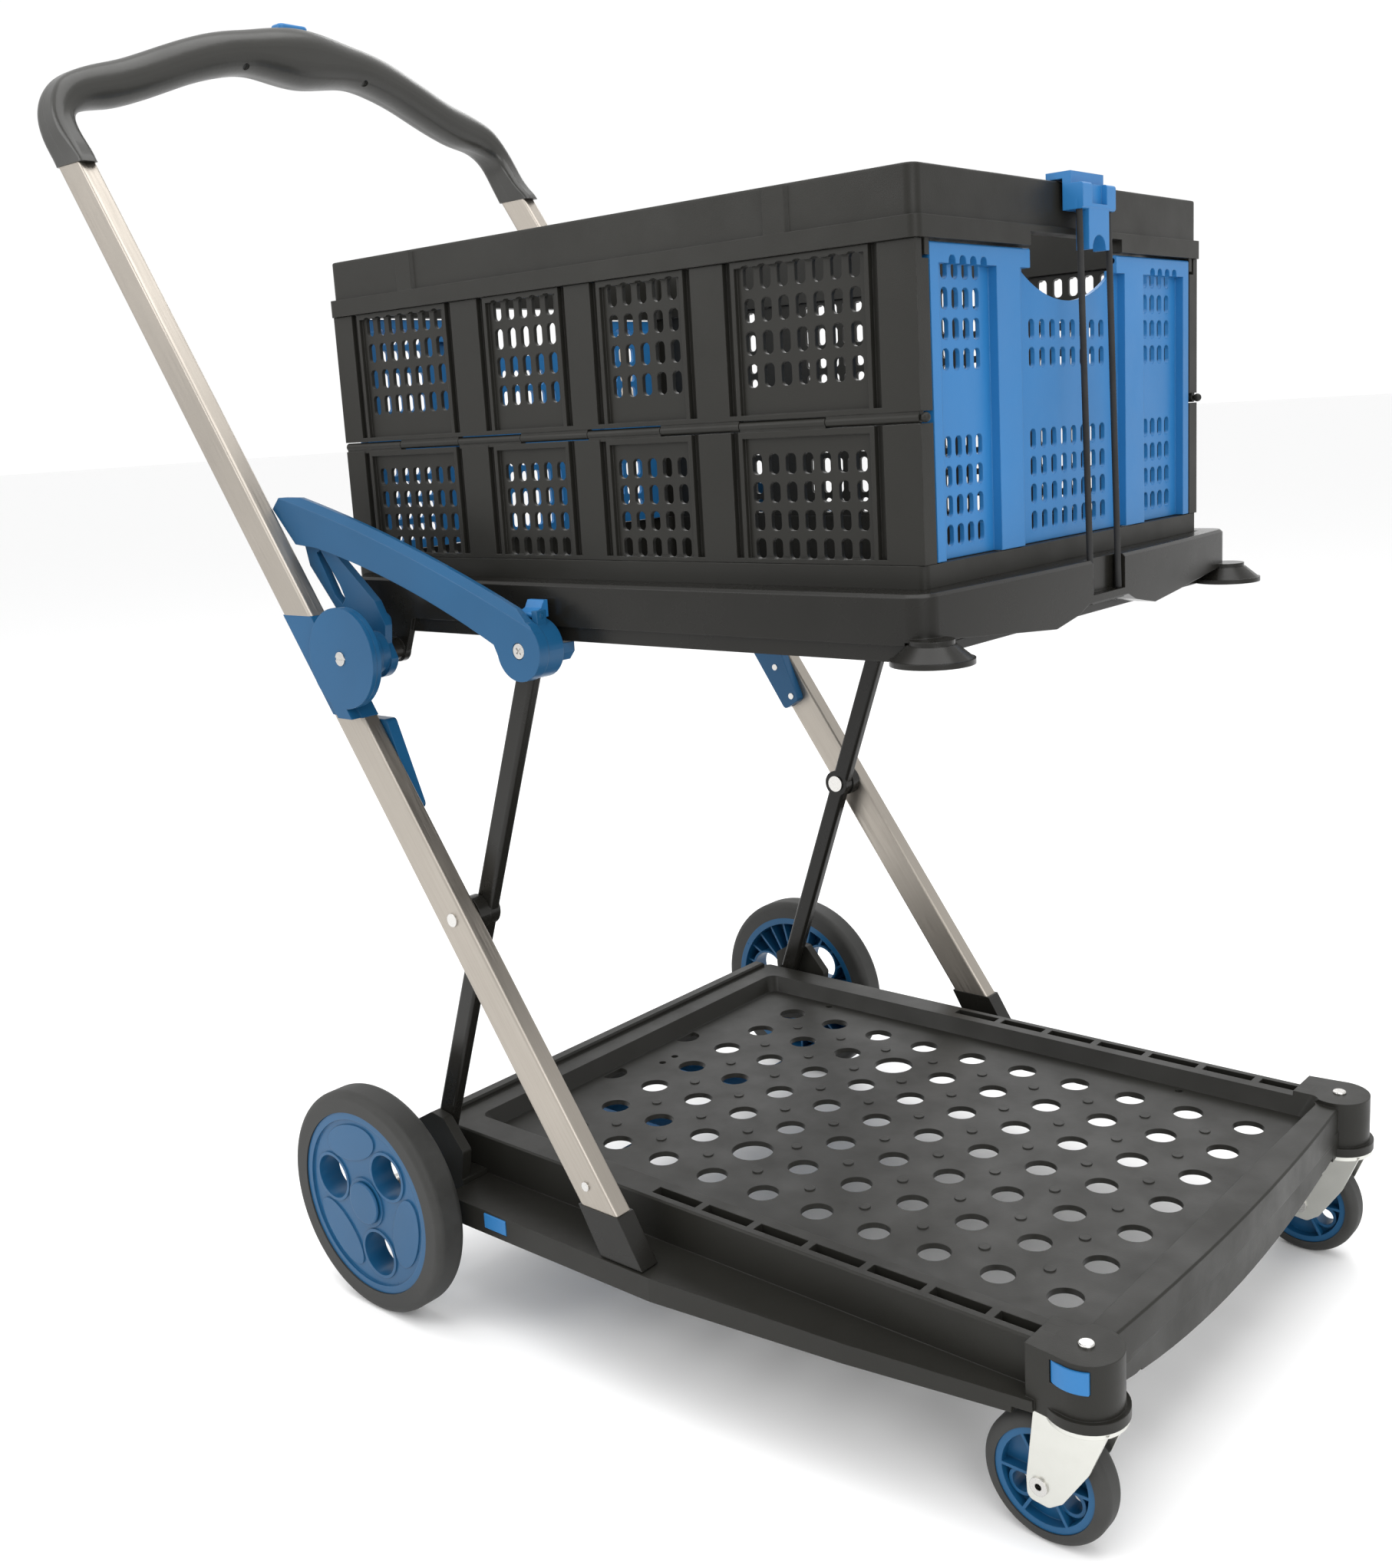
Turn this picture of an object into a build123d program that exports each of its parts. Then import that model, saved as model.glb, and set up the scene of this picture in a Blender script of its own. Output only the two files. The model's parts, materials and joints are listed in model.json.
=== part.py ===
from build123d import *
import math
import os

# Folding rolling basket trolley. Millimetres, +Z up, +X towards the front casters,
# the right side is at -Y. The origin is on the floor under the middle of the trolley.
# Pieces of the right side are drawn first and mirrored for the left side.

# --- lower tray ---
HOLE_PITCH = 48.0
HOLE_COLUMNS = 10
HOLE_ROWS = 7
HOLE_R = 11.5
BIG_HOLE_R = 16.0
FIRST_HOLE_X = -30.0
FLOOR_Z = 118.0
FLOOR_THICK = 4.0
RIM_Z = 131.0
WALL_BOTTOM_Z = 86.0
TRAY_REAR_X = -118.0
TRAY_FRONT_X = 458.0
RIM_OUT_Y = 213.0
RIM_IN_Y = 189.0
FLOOR_REAR_X = -90.0
FLOOR_FRONT_X = 438.0
WALL = 3.0
LEDGE_Z = 100.0
LEDGE_OUT_Y = 256.0

# --- wheels ---
AXLE_X = -117.7
WHEEL_R = 89.0
HUB_R = 72.8
WHEEL_IN_Y = 263.2
WHEEL_OUT_Y = 288.8
CASTER_R = 41.5
CASTER_X = 423.9
CASTER_Y = 205.5
SWIVEL_X = 447.6
SWIVEL_PIN_R = 3.6
LOBE_TOP_Z = 134.3
LOBE_BOTTOM_Z = 93.0

# --- linkage pivots, seen from the side: (x, z) ---
ROD_PIVOT = (-96.0, 118.0)
MIDDLE_PIVOT = (-23.4, 323.3)
HINGE_PIVOT = (-113.6, 510.3)
HEAD_PIVOT = (51.0, 520.6)
PIN_R = 4.0
RUNNING = 0.05

# --- layers of the linkage, as distances from the middle plane ---
ROD_IN_Y, ROD_OUT_Y = 218.0, 228.0
HEAD_IN_Y, HEAD_OUT_Y = 214.5, 228.7
TRACK_IN_Y, TRACK_OUT_Y = 222.0, 228.5
ARM_IN_Y, ARM_OUT_Y = 229.0, 237.6
TUBE_IN_Y, TUBE_OUT_Y = 238.4, 253.6
DISC_IN_Y, DISC_OUT_Y = 253.9, 257.9
CAP_IN_Y, CAP_OUT_Y = 258.1, 262.0

# --- metal tubes: a slanted band with level ends ---
TUBE_TOP_Z = 900.2
TUBE_TOP_REAR_X = -440.8
TUBE_LEAN = 0.689
TUBE_DEPTH = 35.0
HINGE_TOP_Z = 538.9
HINGE_BOTTOM_Z = 465.3
FOOT_CUT_Z = 134.6

# --- upper platform and crate ---
DECK_TOP_Z = 563.5
DECK_BOTTOM_Z = 524.0
DECK_HALF_Y = 209.0
DECK_REAR_X = -195.0
DECK_FRONT_X = 362.0
CRATE_REAR_X = -183.4
CRATE_FRONT_X = 342.1
CRATE_HALF_Y = 185.3
CRATE_BASE_TOP_Z = 577.0
CRATE_MID_Z = 661.0
FLANGE_Z = 759.0
RIM_BAND_Z = 771.3
CRATE_TOP_Z = 799.2
PANEL_THICK = 6.0
SLOT_W = 8.0

os.makedirs("parts", exist_ok=True)


def side(distance):
    """Upright plane at this distance to the right: local x is +X, local y is +Z."""
    return Plane.XZ.offset(distance)


def save(piece, name):
    """Label a finished piece and write it."""
    piece.part.label = name
    export_step(piece.part, f"parts/{name}.step")


def save_group(piece, name):
    """Write both sides' pieces as one node of separate solids."""
    with BuildPart() as both:
        add(piece.part)
        add(piece.part.mirror(Plane.XZ))
    save(both, name)


def save_pair(piece, name):
    """Write the right-hand piece and its mirror image for the left side."""
    save(piece, f"{name}_right")
    with BuildPart() as twin:
        add(piece.part.mirror(Plane.XZ))
    save(twin, f"{name}_left")


def bar(x, z, y_in, y_out, radius, mode=Mode.ADD):
    """Round bar across the trolley on the right side, between two distances."""
    with Locations(Location((x, -(y_in + y_out) / 2, z), (90, 0, 0))):
        Cylinder(radius, y_out - y_in, mode=mode)


def block(x0, x1, y0, y1, z0, z1, mode=Mode.ADD):
    """Square block between two corners."""
    with Locations(((x0 + x1) / 2, (y0 + y1) / 2, (z0 + z1) / 2)):
        Box(abs(x1 - x0), abs(y1 - y0), abs(z1 - z0), mode=mode)


def band(z_low, z_high, inset=0.0):
    """Corners of the slanted tube between two levels."""
    def rear(z):
        return TUBE_TOP_REAR_X + (TUBE_TOP_Z - z) * TUBE_LEAN + inset

    width = TUBE_DEPTH - 2 * inset
    return [(rear(z_low), z_low), (rear(z_low) + width, z_low),
            (rear(z_high) + width, z_high), (rear(z_high), z_high)]


def towards(start, end, along, across=0.0):
    """Point at a distance along the line from start to end, and to its left."""
    dx, dz = end[0] - start[0], end[1] - start[1]
    length = math.hypot(dx, dz)
    ux, uz = dx / length, dz / length
    return (start[0] + ux * along - uz * across, start[1] + uz * along + ux * across)


TUBE_LINE = Axis((0, 0, 0), (-TUBE_LEAN, 0, 1))
LAST_HOLE_X = FIRST_HOLE_X + HOLE_PITCH * (HOLE_COLUMNS - 1)
GRID_X = (FIRST_HOLE_X + LAST_HOLE_X) / 2


# ---------------------------------------------------------------- lower tray
TONGUE_X0, TONGUE_X1 = -15.0, 8.0
TONGUE_Z0, TONGUE_Z1 = 86.0, 98.0
TONGUE_TIP_Y = 40.0
LOBE_R = 22.0
RIM_SLOT = (40.0, 9.0)
RIM_SLOT_Y = 202.5
FIRST_SLOT_X = 132.0
SLOT_COUNT = 7
AXLE_R = 6.0
FRONT_BUTTON_Z = 116.5

with BuildPart() as lower_tray:
    with BuildSketch(Plane.XY.offset(WALL_BOTTOM_Z)):
        with BuildLine():
            Polyline((TRAY_FRONT_X - 6, -RIM_OUT_Y), (TRAY_REAR_X + 9, -RIM_OUT_Y),
                     (TRAY_REAR_X, -RIM_OUT_Y + 9), (TRAY_REAR_X, RIM_OUT_Y - 9),
                     (TRAY_REAR_X + 9, RIM_OUT_Y), (TRAY_FRONT_X - 6, RIM_OUT_Y))
            ThreePointArc((TRAY_FRONT_X - 6, RIM_OUT_Y), (TRAY_FRONT_X + 3, 0),
                          (TRAY_FRONT_X - 6, -RIM_OUT_Y))
        make_face()
    extrude(amount=RIM_Z - WALL_BOTTOM_Z)
    chamfer(lower_tray.faces().sort_by(Axis.Z)[-1].edges(), 1.2)
    # the rear rim stands a little higher
    block(TRAY_REAR_X - 3, TRAY_REAR_X + 8, -RIM_OUT_Y + 9, RIM_OUT_Y - 9, RIM_Z - 20, RIM_Z + 4)
    # front lobes over the casters
    for s in (-1, 1):
        with BuildSketch(Plane.XY.offset(LOBE_BOTTOM_Z)):
            with Locations((SWIVEL_X, s * CASTER_Y)):
                Circle(LOBE_R)
            Polygon((418, s * 188), (SWIVEL_X, s * 188), (SWIVEL_X, s * (CASTER_Y + LOBE_R)),
                    (418, s * 224), align=None)
        extrude(amount=LOBE_TOP_Z - LOBE_BOTTOM_Z)
    chamfer(lower_tray.faces().filter_by(Axis.Z).group_by(Axis.Z)[-1].edges(), 1.5)
    with BuildSketch(Plane.XY.offset(LOBE_BOTTOM_Z)):
        with Locations((SWIVEL_X, -CASTER_Y), (SWIVEL_X, CASTER_Y)):
            Circle(25)
    extrude(amount=6.5)
    # recess above the floor, with a short slope round its edge
    for level, inset in ((FLOOR_Z, 6), (RIM_Z + 4, -1.8)):
        with BuildSketch(Plane.XY.offset(level)):
            with Locations(((FLOOR_REAR_X + FLOOR_FRONT_X) / 2, 0)):
                RectangleRounded(FLOOR_FRONT_X - FLOOR_REAR_X - 2 * inset, 2 * (RIM_IN_Y - inset), 8)
    loft(mode=Mode.SUBTRACT)
    # hollow underside below the floor and inside the rim
    block(TRAY_REAR_X + WALL, 412, -RIM_OUT_Y + WALL, RIM_OUT_Y - WALL, WALL_BOTTOM_Z - 1,
          FLOOR_Z - FLOOR_THICK, mode=Mode.SUBTRACT)
    block(411, TRAY_FRONT_X - 10, -172, 172, WALL_BOTTOM_Z - 1, FLOOR_Z - FLOOR_THICK,
          mode=Mode.SUBTRACT)
    block(TRAY_FRONT_X - 11, TRAY_FRONT_X + 10, -172, 172, WALL_BOTTOM_Z - 1, 106, mode=Mode.SUBTRACT)
    # floor holes
    with BuildSketch(Plane.XY.offset(FLOOR_Z - FLOOR_THICK - 1)):
        with Locations((GRID_X, 0)):
            with GridLocations(HOLE_PITCH, HOLE_PITCH, HOLE_COLUMNS, HOLE_ROWS):
                Circle(HOLE_R)
        with Locations((FIRST_HOLE_X + 3 * HOLE_PITCH, -2 * HOLE_PITCH),
                       (FIRST_HOLE_X + 3 * HOLE_PITCH, 2 * HOLE_PITCH)):
            Circle(BIG_HOLE_R)
        # half holes behind the first column, over the release tongues
        with Locations((FIRST_HOLE_X - HOLE_PITCH, -HOLE_PITCH), (FIRST_HOLE_X - HOLE_PITCH, HOLE_PITCH)):
            Circle(HOLE_R)
        with Locations((FIRST_HOLE_X - HOLE_PITCH - 10, 0)):
            Rectangle(16, 4 * HOLE_PITCH, mode=Mode.SUBTRACT)
        with Locations((-57, -8), (-57, 8), (-12, -177), (-12, 177), (332, -177), (332, 177)):
            Circle(3)
    extrude(amount=FLOOR_THICK + 2, mode=Mode.SUBTRACT)
    # small raised discs between the holes
    with BuildSketch(Plane.XY.offset(FLOOR_Z - 0.5)):
        with Locations((GRID_X, 0)):
            with GridLocations(HOLE_PITCH, HOLE_PITCH, HOLE_COLUMNS - 1, HOLE_ROWS - 1):
                Circle(4)
    extrude(amount=1.3)
    # open pockets along the top of both long rims
    with BuildSketch(Plane.XY.offset(RIM_Z - 9)):
        for s in (-1, 1):
            for i in range(SLOT_COUNT):
                with Locations((FIRST_SLOT_X + i * 46, s * RIM_SLOT_Y)):
                    Rectangle(*RIM_SLOT)
    extrude(amount=12, mode=Mode.SUBTRACT)
    # side ledges: a shelf with an outer lip that runs out at the front lobes
    for s in (-1, 1):
        with BuildSketch(Plane.XY.offset(LEDGE_Z - 3)):
            Polygon((-58, s * (RIM_OUT_Y - 2)), (-58, s * 250), (-50, s * LEDGE_OUT_Y),
                    (150, s * LEDGE_OUT_Y), (300, s * 243), (424, s * 227),
                    (424, s * (RIM_OUT_Y - 2)), align=None)
        extrude(amount=3)
        with BuildSketch(Plane.XY.offset(80)):
            Polygon((-58, s * 246), (-58, s * 250), (-50, s * LEDGE_OUT_Y), (150, s * LEDGE_OUT_Y),
                    (300, s * 243), (424, s * 227), (424, s * 223), (300, s * 239),
                    (150, s * 252), (-48, s * 252), (-54, s * 246), align=None)
        extrude(amount=LEDGE_Z - 81)
        for i in range(7):
            block(-40 + i * 58, -38 + i * 58, s * (RIM_OUT_Y - 1), s * (253 - i * 2), 88, LEDGE_Z - 1)
    # the lip grows shallower towards the front
    with BuildSketch(side(300)):
        Polygon((-70, 70), (-70, 82.5), (-40, 81), (148, 82.5), (430, 89.5), (430, 70), align=None)
    extrude(amount=-600, mode=Mode.SUBTRACT)
    # front skirt, set back under the groove; its lower edge dips in the middle
    with BuildSketch(Plane.YZ.offset(TRAY_FRONT_X - 12)):
        with BuildLine():
            Polyline((-184, 99), (-184, 113), (184, 113), (184, 99))
            ThreePointArc((184, 99), (0, 77), (-184, 99))
        make_face()
    extrude(amount=9)
    block(TRAY_FRONT_X - 2.4, TRAY_FRONT_X + 10, -182, 182, 104, 109.5, mode=Mode.SUBTRACT)
    for s in (-1, 1):
        # room above the turning caster
        block(411, 480, s * 150, s * 236, 60, LOBE_BOTTOM_Z, mode=Mode.SUBTRACT)
        # bore for the caster rivet and pocket for the lobe's button
        with Locations((SWIVEL_X, s * CASTER_Y, LOBE_BOTTOM_Z - 2)):
            Cylinder(SWIVEL_PIN_R, 60, align=(Align.CENTER, Align.CENTER, Align.MIN), mode=Mode.SUBTRACT)
        block(434.7, 459.3, s * 214, s * 235, FRONT_BUTTON_Z - 0.3, FRONT_BUTTON_Z + 14.3,
              mode=Mode.SUBTRACT)
        # opening for the release tongue, through the wall and the lip
        block(TONGUE_X0 - 0.3, TONGUE_X1 + 0.3, s * 205, s * 260, TONGUE_Z0 - 0.3, TONGUE_Z1 - 3,
              mode=Mode.SUBTRACT)
        block(TONGUE_X0 - 0.3, TONGUE_X1 + 0.3, s * 242, s * 260, TONGUE_Z0 - 0.3, TONGUE_Z1 + 0.3,
              mode=Mode.SUBTRACT)
        # socket for the inner end of the rod pivot pin
        with Locations(Location((ROD_PIVOT[0], s * RIM_OUT_Y, ROD_PIVOT[1]), (90, 0, 0))):
            Cylinder(PIN_R, 8, mode=Mode.SUBTRACT)
save(lower_tray, "lower_tray")

# corner brackets that carry the rods and the rear axles
BRACKET_OUT_Y = 237.5
with BuildPart() as rear_bracket:
    with BuildSketch(side(ROD_OUT_Y + 1)):
        with BuildLine():
            FilletPolyline((-112, 100), (-114, 138), (-90, 152), (-76, 150), (-56, 127), (-61, 100),
                           radius=4)
            Line((-61, 100), (-112, 100))
        make_face()
    extrude(amount=BRACKET_OUT_Y - ROD_OUT_Y - 1)
    with BuildSketch(side(RIM_OUT_Y)):
        Polygon((-132, 80), (-132, 96), (-121, 103.5), (-59, 103.5), (-59, 83), (-80, 80), (-104, 76),
                align=None)
    extrude(amount=BRACKET_OUT_Y - RIM_OUT_Y)
    bar(AXLE_X, WHEEL_R, RIM_OUT_Y, BRACKET_OUT_Y, 15)
    bar(AXLE_X, WHEEL_R, 200, 240, AXLE_R, mode=Mode.SUBTRACT)
    bar(ROD_PIVOT[0], ROD_PIVOT[1], 220, 240, PIN_R, mode=Mode.SUBTRACT)
save_pair(rear_bracket, "rear_bracket")

with BuildPart() as rod_pivot_pin:
    bar(ROD_PIVOT[0], ROD_PIVOT[1], RIM_OUT_Y - 4, BRACKET_OUT_Y, PIN_R)
save_group(rod_pivot_pin, "rod_pivot_pins")

with BuildPart() as rear_axle:
    bar(AXLE_X, WHEEL_R, RIM_OUT_Y, WHEEL_OUT_Y - 0.9, AXLE_R)
    bar(AXLE_X, WHEEL_R, BRACKET_OUT_Y, WHEEL_IN_Y - 0.3, 10)
save_group(rear_axle, "rear_axles")

# release tongue: button face in the lip and a flat arm under the floor
with BuildPart() as release_tongue:
    block(TONGUE_X0, TONGUE_X1, -LEDGE_OUT_Y - 0.6, -247, TONGUE_Z0, TONGUE_Z1)
    fillet(release_tongue.edges().filter_by(Axis.X).group_by(Axis.Y)[0], 1.0)
    block(TONGUE_X0, TONGUE_X1, -248, -TONGUE_TIP_Y, TONGUE_Z0, TONGUE_Z0 + 3)
    block(-88, TONGUE_X0 + 1, -58, -TONGUE_TIP_Y, TONGUE_Z0, TONGUE_Z0 + 3)
save_pair(release_tongue, "release_tongue")

with BuildPart() as front_button:
    with BuildSketch(Plane.XY.offset(FRONT_BUTTON_Z)):
        with Locations((SWIVEL_X, -CASTER_Y)):
            Circle(LOBE_R + 1.2)
        with Locations((SWIVEL_X - 0.6, -CASTER_Y - 23)):
            Rectangle(24, 20, mode=Mode.INTERSECT)
    extrude(amount=14)
    fillet(front_button.edges().filter_by(Axis.Z), 1.0)
save_pair(front_button, "front_button")

# ---------------------------------------------------------------- rear wheels
HUB_HOLE_ANGLES = (45, 165, 285)
PAD_ANGLES = (105, 225, 345)
with BuildPart() as wheel_hub:
    with BuildSketch(side(WHEEL_IN_Y)):
        with Locations((AXLE_X, WHEEL_R)):
            Circle(HUB_R)
            Circle(HUB_R - 6, mode=Mode.SUBTRACT)
    extrude(amount=WHEEL_OUT_Y - WHEEL_IN_Y - 1.2)
    with BuildSketch(side(WHEEL_OUT_Y - 7)):
        with Locations((AXLE_X, WHEEL_R)):
            Circle(HUB_R - 3)
            with PolarLocations(41, 3, start_angle=HUB_HOLE_ANGLES[0]):
                Circle(17.5, mode=Mode.SUBTRACT)
    extrude(amount=4)
    # raised ovals between the holes, rims round the holes, and the boss
    with BuildSketch(side(WHEEL_OUT_Y - 3)):
        with Locations((AXLE_X, WHEEL_R)):
            with PolarLocations(48, 3, start_angle=PAD_ANGLES[0]):
                Ellipse(14.5, 30)
            with PolarLocations(41, 3, start_angle=HUB_HOLE_ANGLES[0]):
                Circle(20)
                Circle(17.5, mode=Mode.SUBTRACT)
            Circle(20)
    extrude(amount=1.2)
    with BuildSketch(side(WHEEL_IN_Y)):
        with Locations((AXLE_X, WHEEL_R)):
            Circle(16)
    extrude(amount=WHEEL_OUT_Y - WHEEL_IN_Y - 2)
    # stiffening ribs on the inner face
    with BuildSketch(side(WHEEL_IN_Y + 5)):
        with Locations((AXLE_X, WHEEL_R)):
            with PolarLocations(41, 24):
                Rectangle(52, 2.2)
            Circle(23, mode=Mode.ADD)
            with PolarLocations(41, 3, start_angle=HUB_HOLE_ANGLES[0]):
                Circle(19.5)
                Circle(17.5, mode=Mode.SUBTRACT)
    extrude(amount=WHEEL_OUT_Y - WHEEL_IN_Y - 11)
    bar(AXLE_X, WHEEL_R, 260, 292, AXLE_R + RUNNING, mode=Mode.SUBTRACT)
save_pair(wheel_hub, "wheel_hub")

with BuildPart() as wheel_cap:
    with BuildSketch(side(WHEEL_OUT_Y - 0.9)):
        with Locations((AXLE_X, WHEEL_R)):
            Circle(17)
    extrude(amount=1.9)
    fillet(wheel_cap.edges().group_by(Axis.Y)[0], 1.2)
save_group(wheel_cap, "wheel_caps")

TYRE_MID_Y = (WHEEL_IN_Y + WHEEL_OUT_Y) / 2
with BuildPart() as wheel_tyre:
    with BuildSketch(Plane.YZ.offset(AXLE_X)):
        with Locations((-TYRE_MID_Y, WHEEL_R + (HUB_R + WHEEL_R) / 2)):
            Rectangle(WHEEL_OUT_Y - WHEEL_IN_Y, WHEEL_R - HUB_R)
    revolve(axis=Axis((AXLE_X, 0, WHEEL_R), (0, 1, 0)))
    fillet(wheel_tyre.edges().filter_by(GeomType.CIRCLE).sort_by(SortBy.RADIUS)[-2:], 6)
save_pair(wheel_tyre, "wheel_tyre")

# ---------------------------------------------------------------- casters
FORK_TOP_Z = LOBE_BOTTOM_Z - 0.4
FORK_PLATE = 3.0
FORK_IN = 12.6
FORK_SHEET = 2.4
with BuildPart() as caster_fork:
    with BuildSketch(Plane.XY.offset(FORK_TOP_Z - FORK_PLATE)):
        with Locations((SWIVEL_X, -CASTER_Y)):
            Circle(24)
        with Locations(((SWIVEL_X + 421) / 2, -CASTER_Y)):
            Rectangle(SWIVEL_X - 421, 2 * (FORK_IN + FORK_SHEET))
        with Locations((SWIVEL_X, -CASTER_Y)):
            Circle(SWIVEL_PIN_R + RUNNING, mode=Mode.SUBTRACT)
    extrude(amount=FORK_PLATE)
    for distance in (CASTER_Y - FORK_IN - FORK_SHEET, CASTER_Y + FORK_IN):
        with BuildSketch(side(distance)):
            with BuildLine():
                FilletPolyline((421, FORK_TOP_Z - 1), (415.5, 44), (416, 31), (430, 29.5), (439, 36),
                               (456, 62), (468, FORK_TOP_Z - 1), radius=5)
                Line((468, FORK_TOP_Z - 1), (421, FORK_TOP_Z - 1))
            make_face()
        extrude(amount=FORK_SHEET)
    bar(CASTER_X, CASTER_R, CASTER_Y - 20, CASTER_Y + 20, 4.0, mode=Mode.SUBTRACT)
save_pair(caster_fork, "caster_fork")

with BuildPart() as caster_hub:
    with BuildSketch(side(CASTER_Y - 9)):
        with Locations((CASTER_X, CASTER_R)):
            Circle(33)
            Circle(28.5, mode=Mode.SUBTRACT)
            Circle(10)
            with PolarLocations(19, 6):
                Rectangle(22, 2.0)
    extrude(amount=18)
    with BuildSketch(side(CASTER_Y - 2)):
        with Locations((CASTER_X, CASTER_R)):
            Circle(30)
    extrude(amount=4)
    with BuildSketch(side(CASTER_Y - 6)):
        with Locations((CASTER_X, CASTER_R)):
            with PolarLocations(19, 3, start_angle=90):
                Circle(9.0)
    extrude(amount=12)
    bar(CASTER_X, CASTER_R, CASTER_Y - 12.2, CASTER_Y + 12.2, 8)
    bar(CASTER_X, CASTER_R, CASTER_Y - 20, CASTER_Y + 20, 4.0 + RUNNING, mode=Mode.SUBTRACT)
    with BuildSketch(side(CASTER_Y - 15)):
        with Locations((CASTER_X, CASTER_R)):
            with PolarLocations(19, 3, start_angle=90):
                Circle(6.6)
    extrude(amount=30, mode=Mode.SUBTRACT)
save_pair(caster_hub, "caster_hub")

with BuildPart() as caster_tyre:
    bar(CASTER_X, CASTER_R, CASTER_Y - 10, CASTER_Y + 10, CASTER_R)
    bar(CASTER_X, CASTER_R, CASTER_Y - 10, CASTER_Y + 10, 33, mode=Mode.SUBTRACT)
    fillet(caster_tyre.edges().filter_by(GeomType.CIRCLE).sort_by(SortBy.RADIUS)[-2:], 6)
save_pair(caster_tyre, "caster_tyre")

with BuildPart() as caster_axle:
    bar(CASTER_X, CASTER_R, CASTER_Y - 16.5, CASTER_Y + 16.5, 4.0)
    for start in (CASTER_Y - 16.5, CASTER_Y + FORK_IN + FORK_SHEET):
        bar(CASTER_X, CASTER_R, start, start + 1.5, 5.8)
    bar(CASTER_X, CASTER_R, CASTER_Y - 17, CASTER_Y + 17, 2.2, mode=Mode.SUBTRACT)
save_pair(caster_axle, "caster_axle")

RIVET_BOTTOM_Z = FORK_TOP_Z - 5.4
with BuildPart() as swivel_rivet:
    with Locations((SWIVEL_X, -CASTER_Y, RIVET_BOTTOM_Z)):
        Cylinder(SWIVEL_PIN_R, LOBE_TOP_Z - RIVET_BOTTOM_Z,
                 align=(Align.CENTER, Align.CENTER, Align.MIN))
        Cylinder(6.0, 2.2, align=(Align.CENTER, Align.CENTER, Align.MIN))
    with Locations((SWIVEL_X, -CASTER_Y, LOBE_TOP_Z)):
        Cylinder(4.9, 1.6, align=(Align.CENTER, Align.CENTER, Align.MIN))
    fillet(swivel_rivet.edges().group_by(Axis.Z)[-1], 1.0)
save_group(swivel_rivet, "swivel_rivets")

# ---------------------------------------------------------------- rods
ROD_HALF = 8.2
HEAD_R = 20.5
HEAD_GAP = 0.2
ROD_LENGTH = math.hypot(HEAD_PIVOT[0] - ROD_PIVOT[0], HEAD_PIVOT[1] - ROD_PIVOT[1])
ROD_TONGUE_IN_Y, ROD_TONGUE_OUT_Y = 218.5, 225.0


def rod_point(along, across=0.0):
    return towards(ROD_PIVOT, HEAD_PIVOT, along, across)


with BuildPart() as rod_bar:
    with BuildSketch(side(ROD_IN_Y)):
        Polygon(rod_point(0, ROD_HALF), rod_point(ROD_LENGTH - 12, ROD_HALF),
                rod_point(ROD_LENGTH - 12, -ROD_HALF), rod_point(0, -ROD_HALF), align=None)
    extrude(amount=ROD_OUT_Y - ROD_IN_Y)
    fillet(rod_bar.edges().filter_by(lambda e: e.length > 200), 2.8)

with BuildPart() as rod:
    add(rod_bar.part)
    with BuildSketch(side(ROD_IN_Y)):
        with Locations(ROD_PIVOT):
            Circle(12.5)
        with Locations(MIDDLE_PIVOT):
            Circle(12)
    extrude(amount=ROD_OUT_Y - ROD_IN_Y)
    bar(HEAD_PIVOT[0], HEAD_PIVOT[1], 210, 230, HEAD_R + HEAD_GAP, mode=Mode.SUBTRACT)
    # thin tongue that reaches the head pivot inside the drum
    with BuildSketch(side(ROD_TONGUE_IN_Y)):
        Polygon(rod_point(ROD_LENGTH - 34, 7), rod_point(ROD_LENGTH, 7), rod_point(ROD_LENGTH, -7),
                rod_point(ROD_LENGTH - 34, -7), align=None)
        with Locations(HEAD_PIVOT):
            Circle(9)
    extrude(amount=ROD_TONGUE_OUT_Y - ROD_TONGUE_IN_Y)
    bar(ROD_PIVOT[0], ROD_PIVOT[1], 210, 230, PIN_R + RUNNING, mode=Mode.SUBTRACT)
    bar(MIDDLE_PIVOT[0], MIDDLE_PIVOT[1], 210, 230, 5.0 + RUNNING, mode=Mode.SUBTRACT)
    bar(HEAD_PIVOT[0], HEAD_PIVOT[1], 210, 230, PIN_R, mode=Mode.SUBTRACT)
save_pair(rod, "rod")

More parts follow.
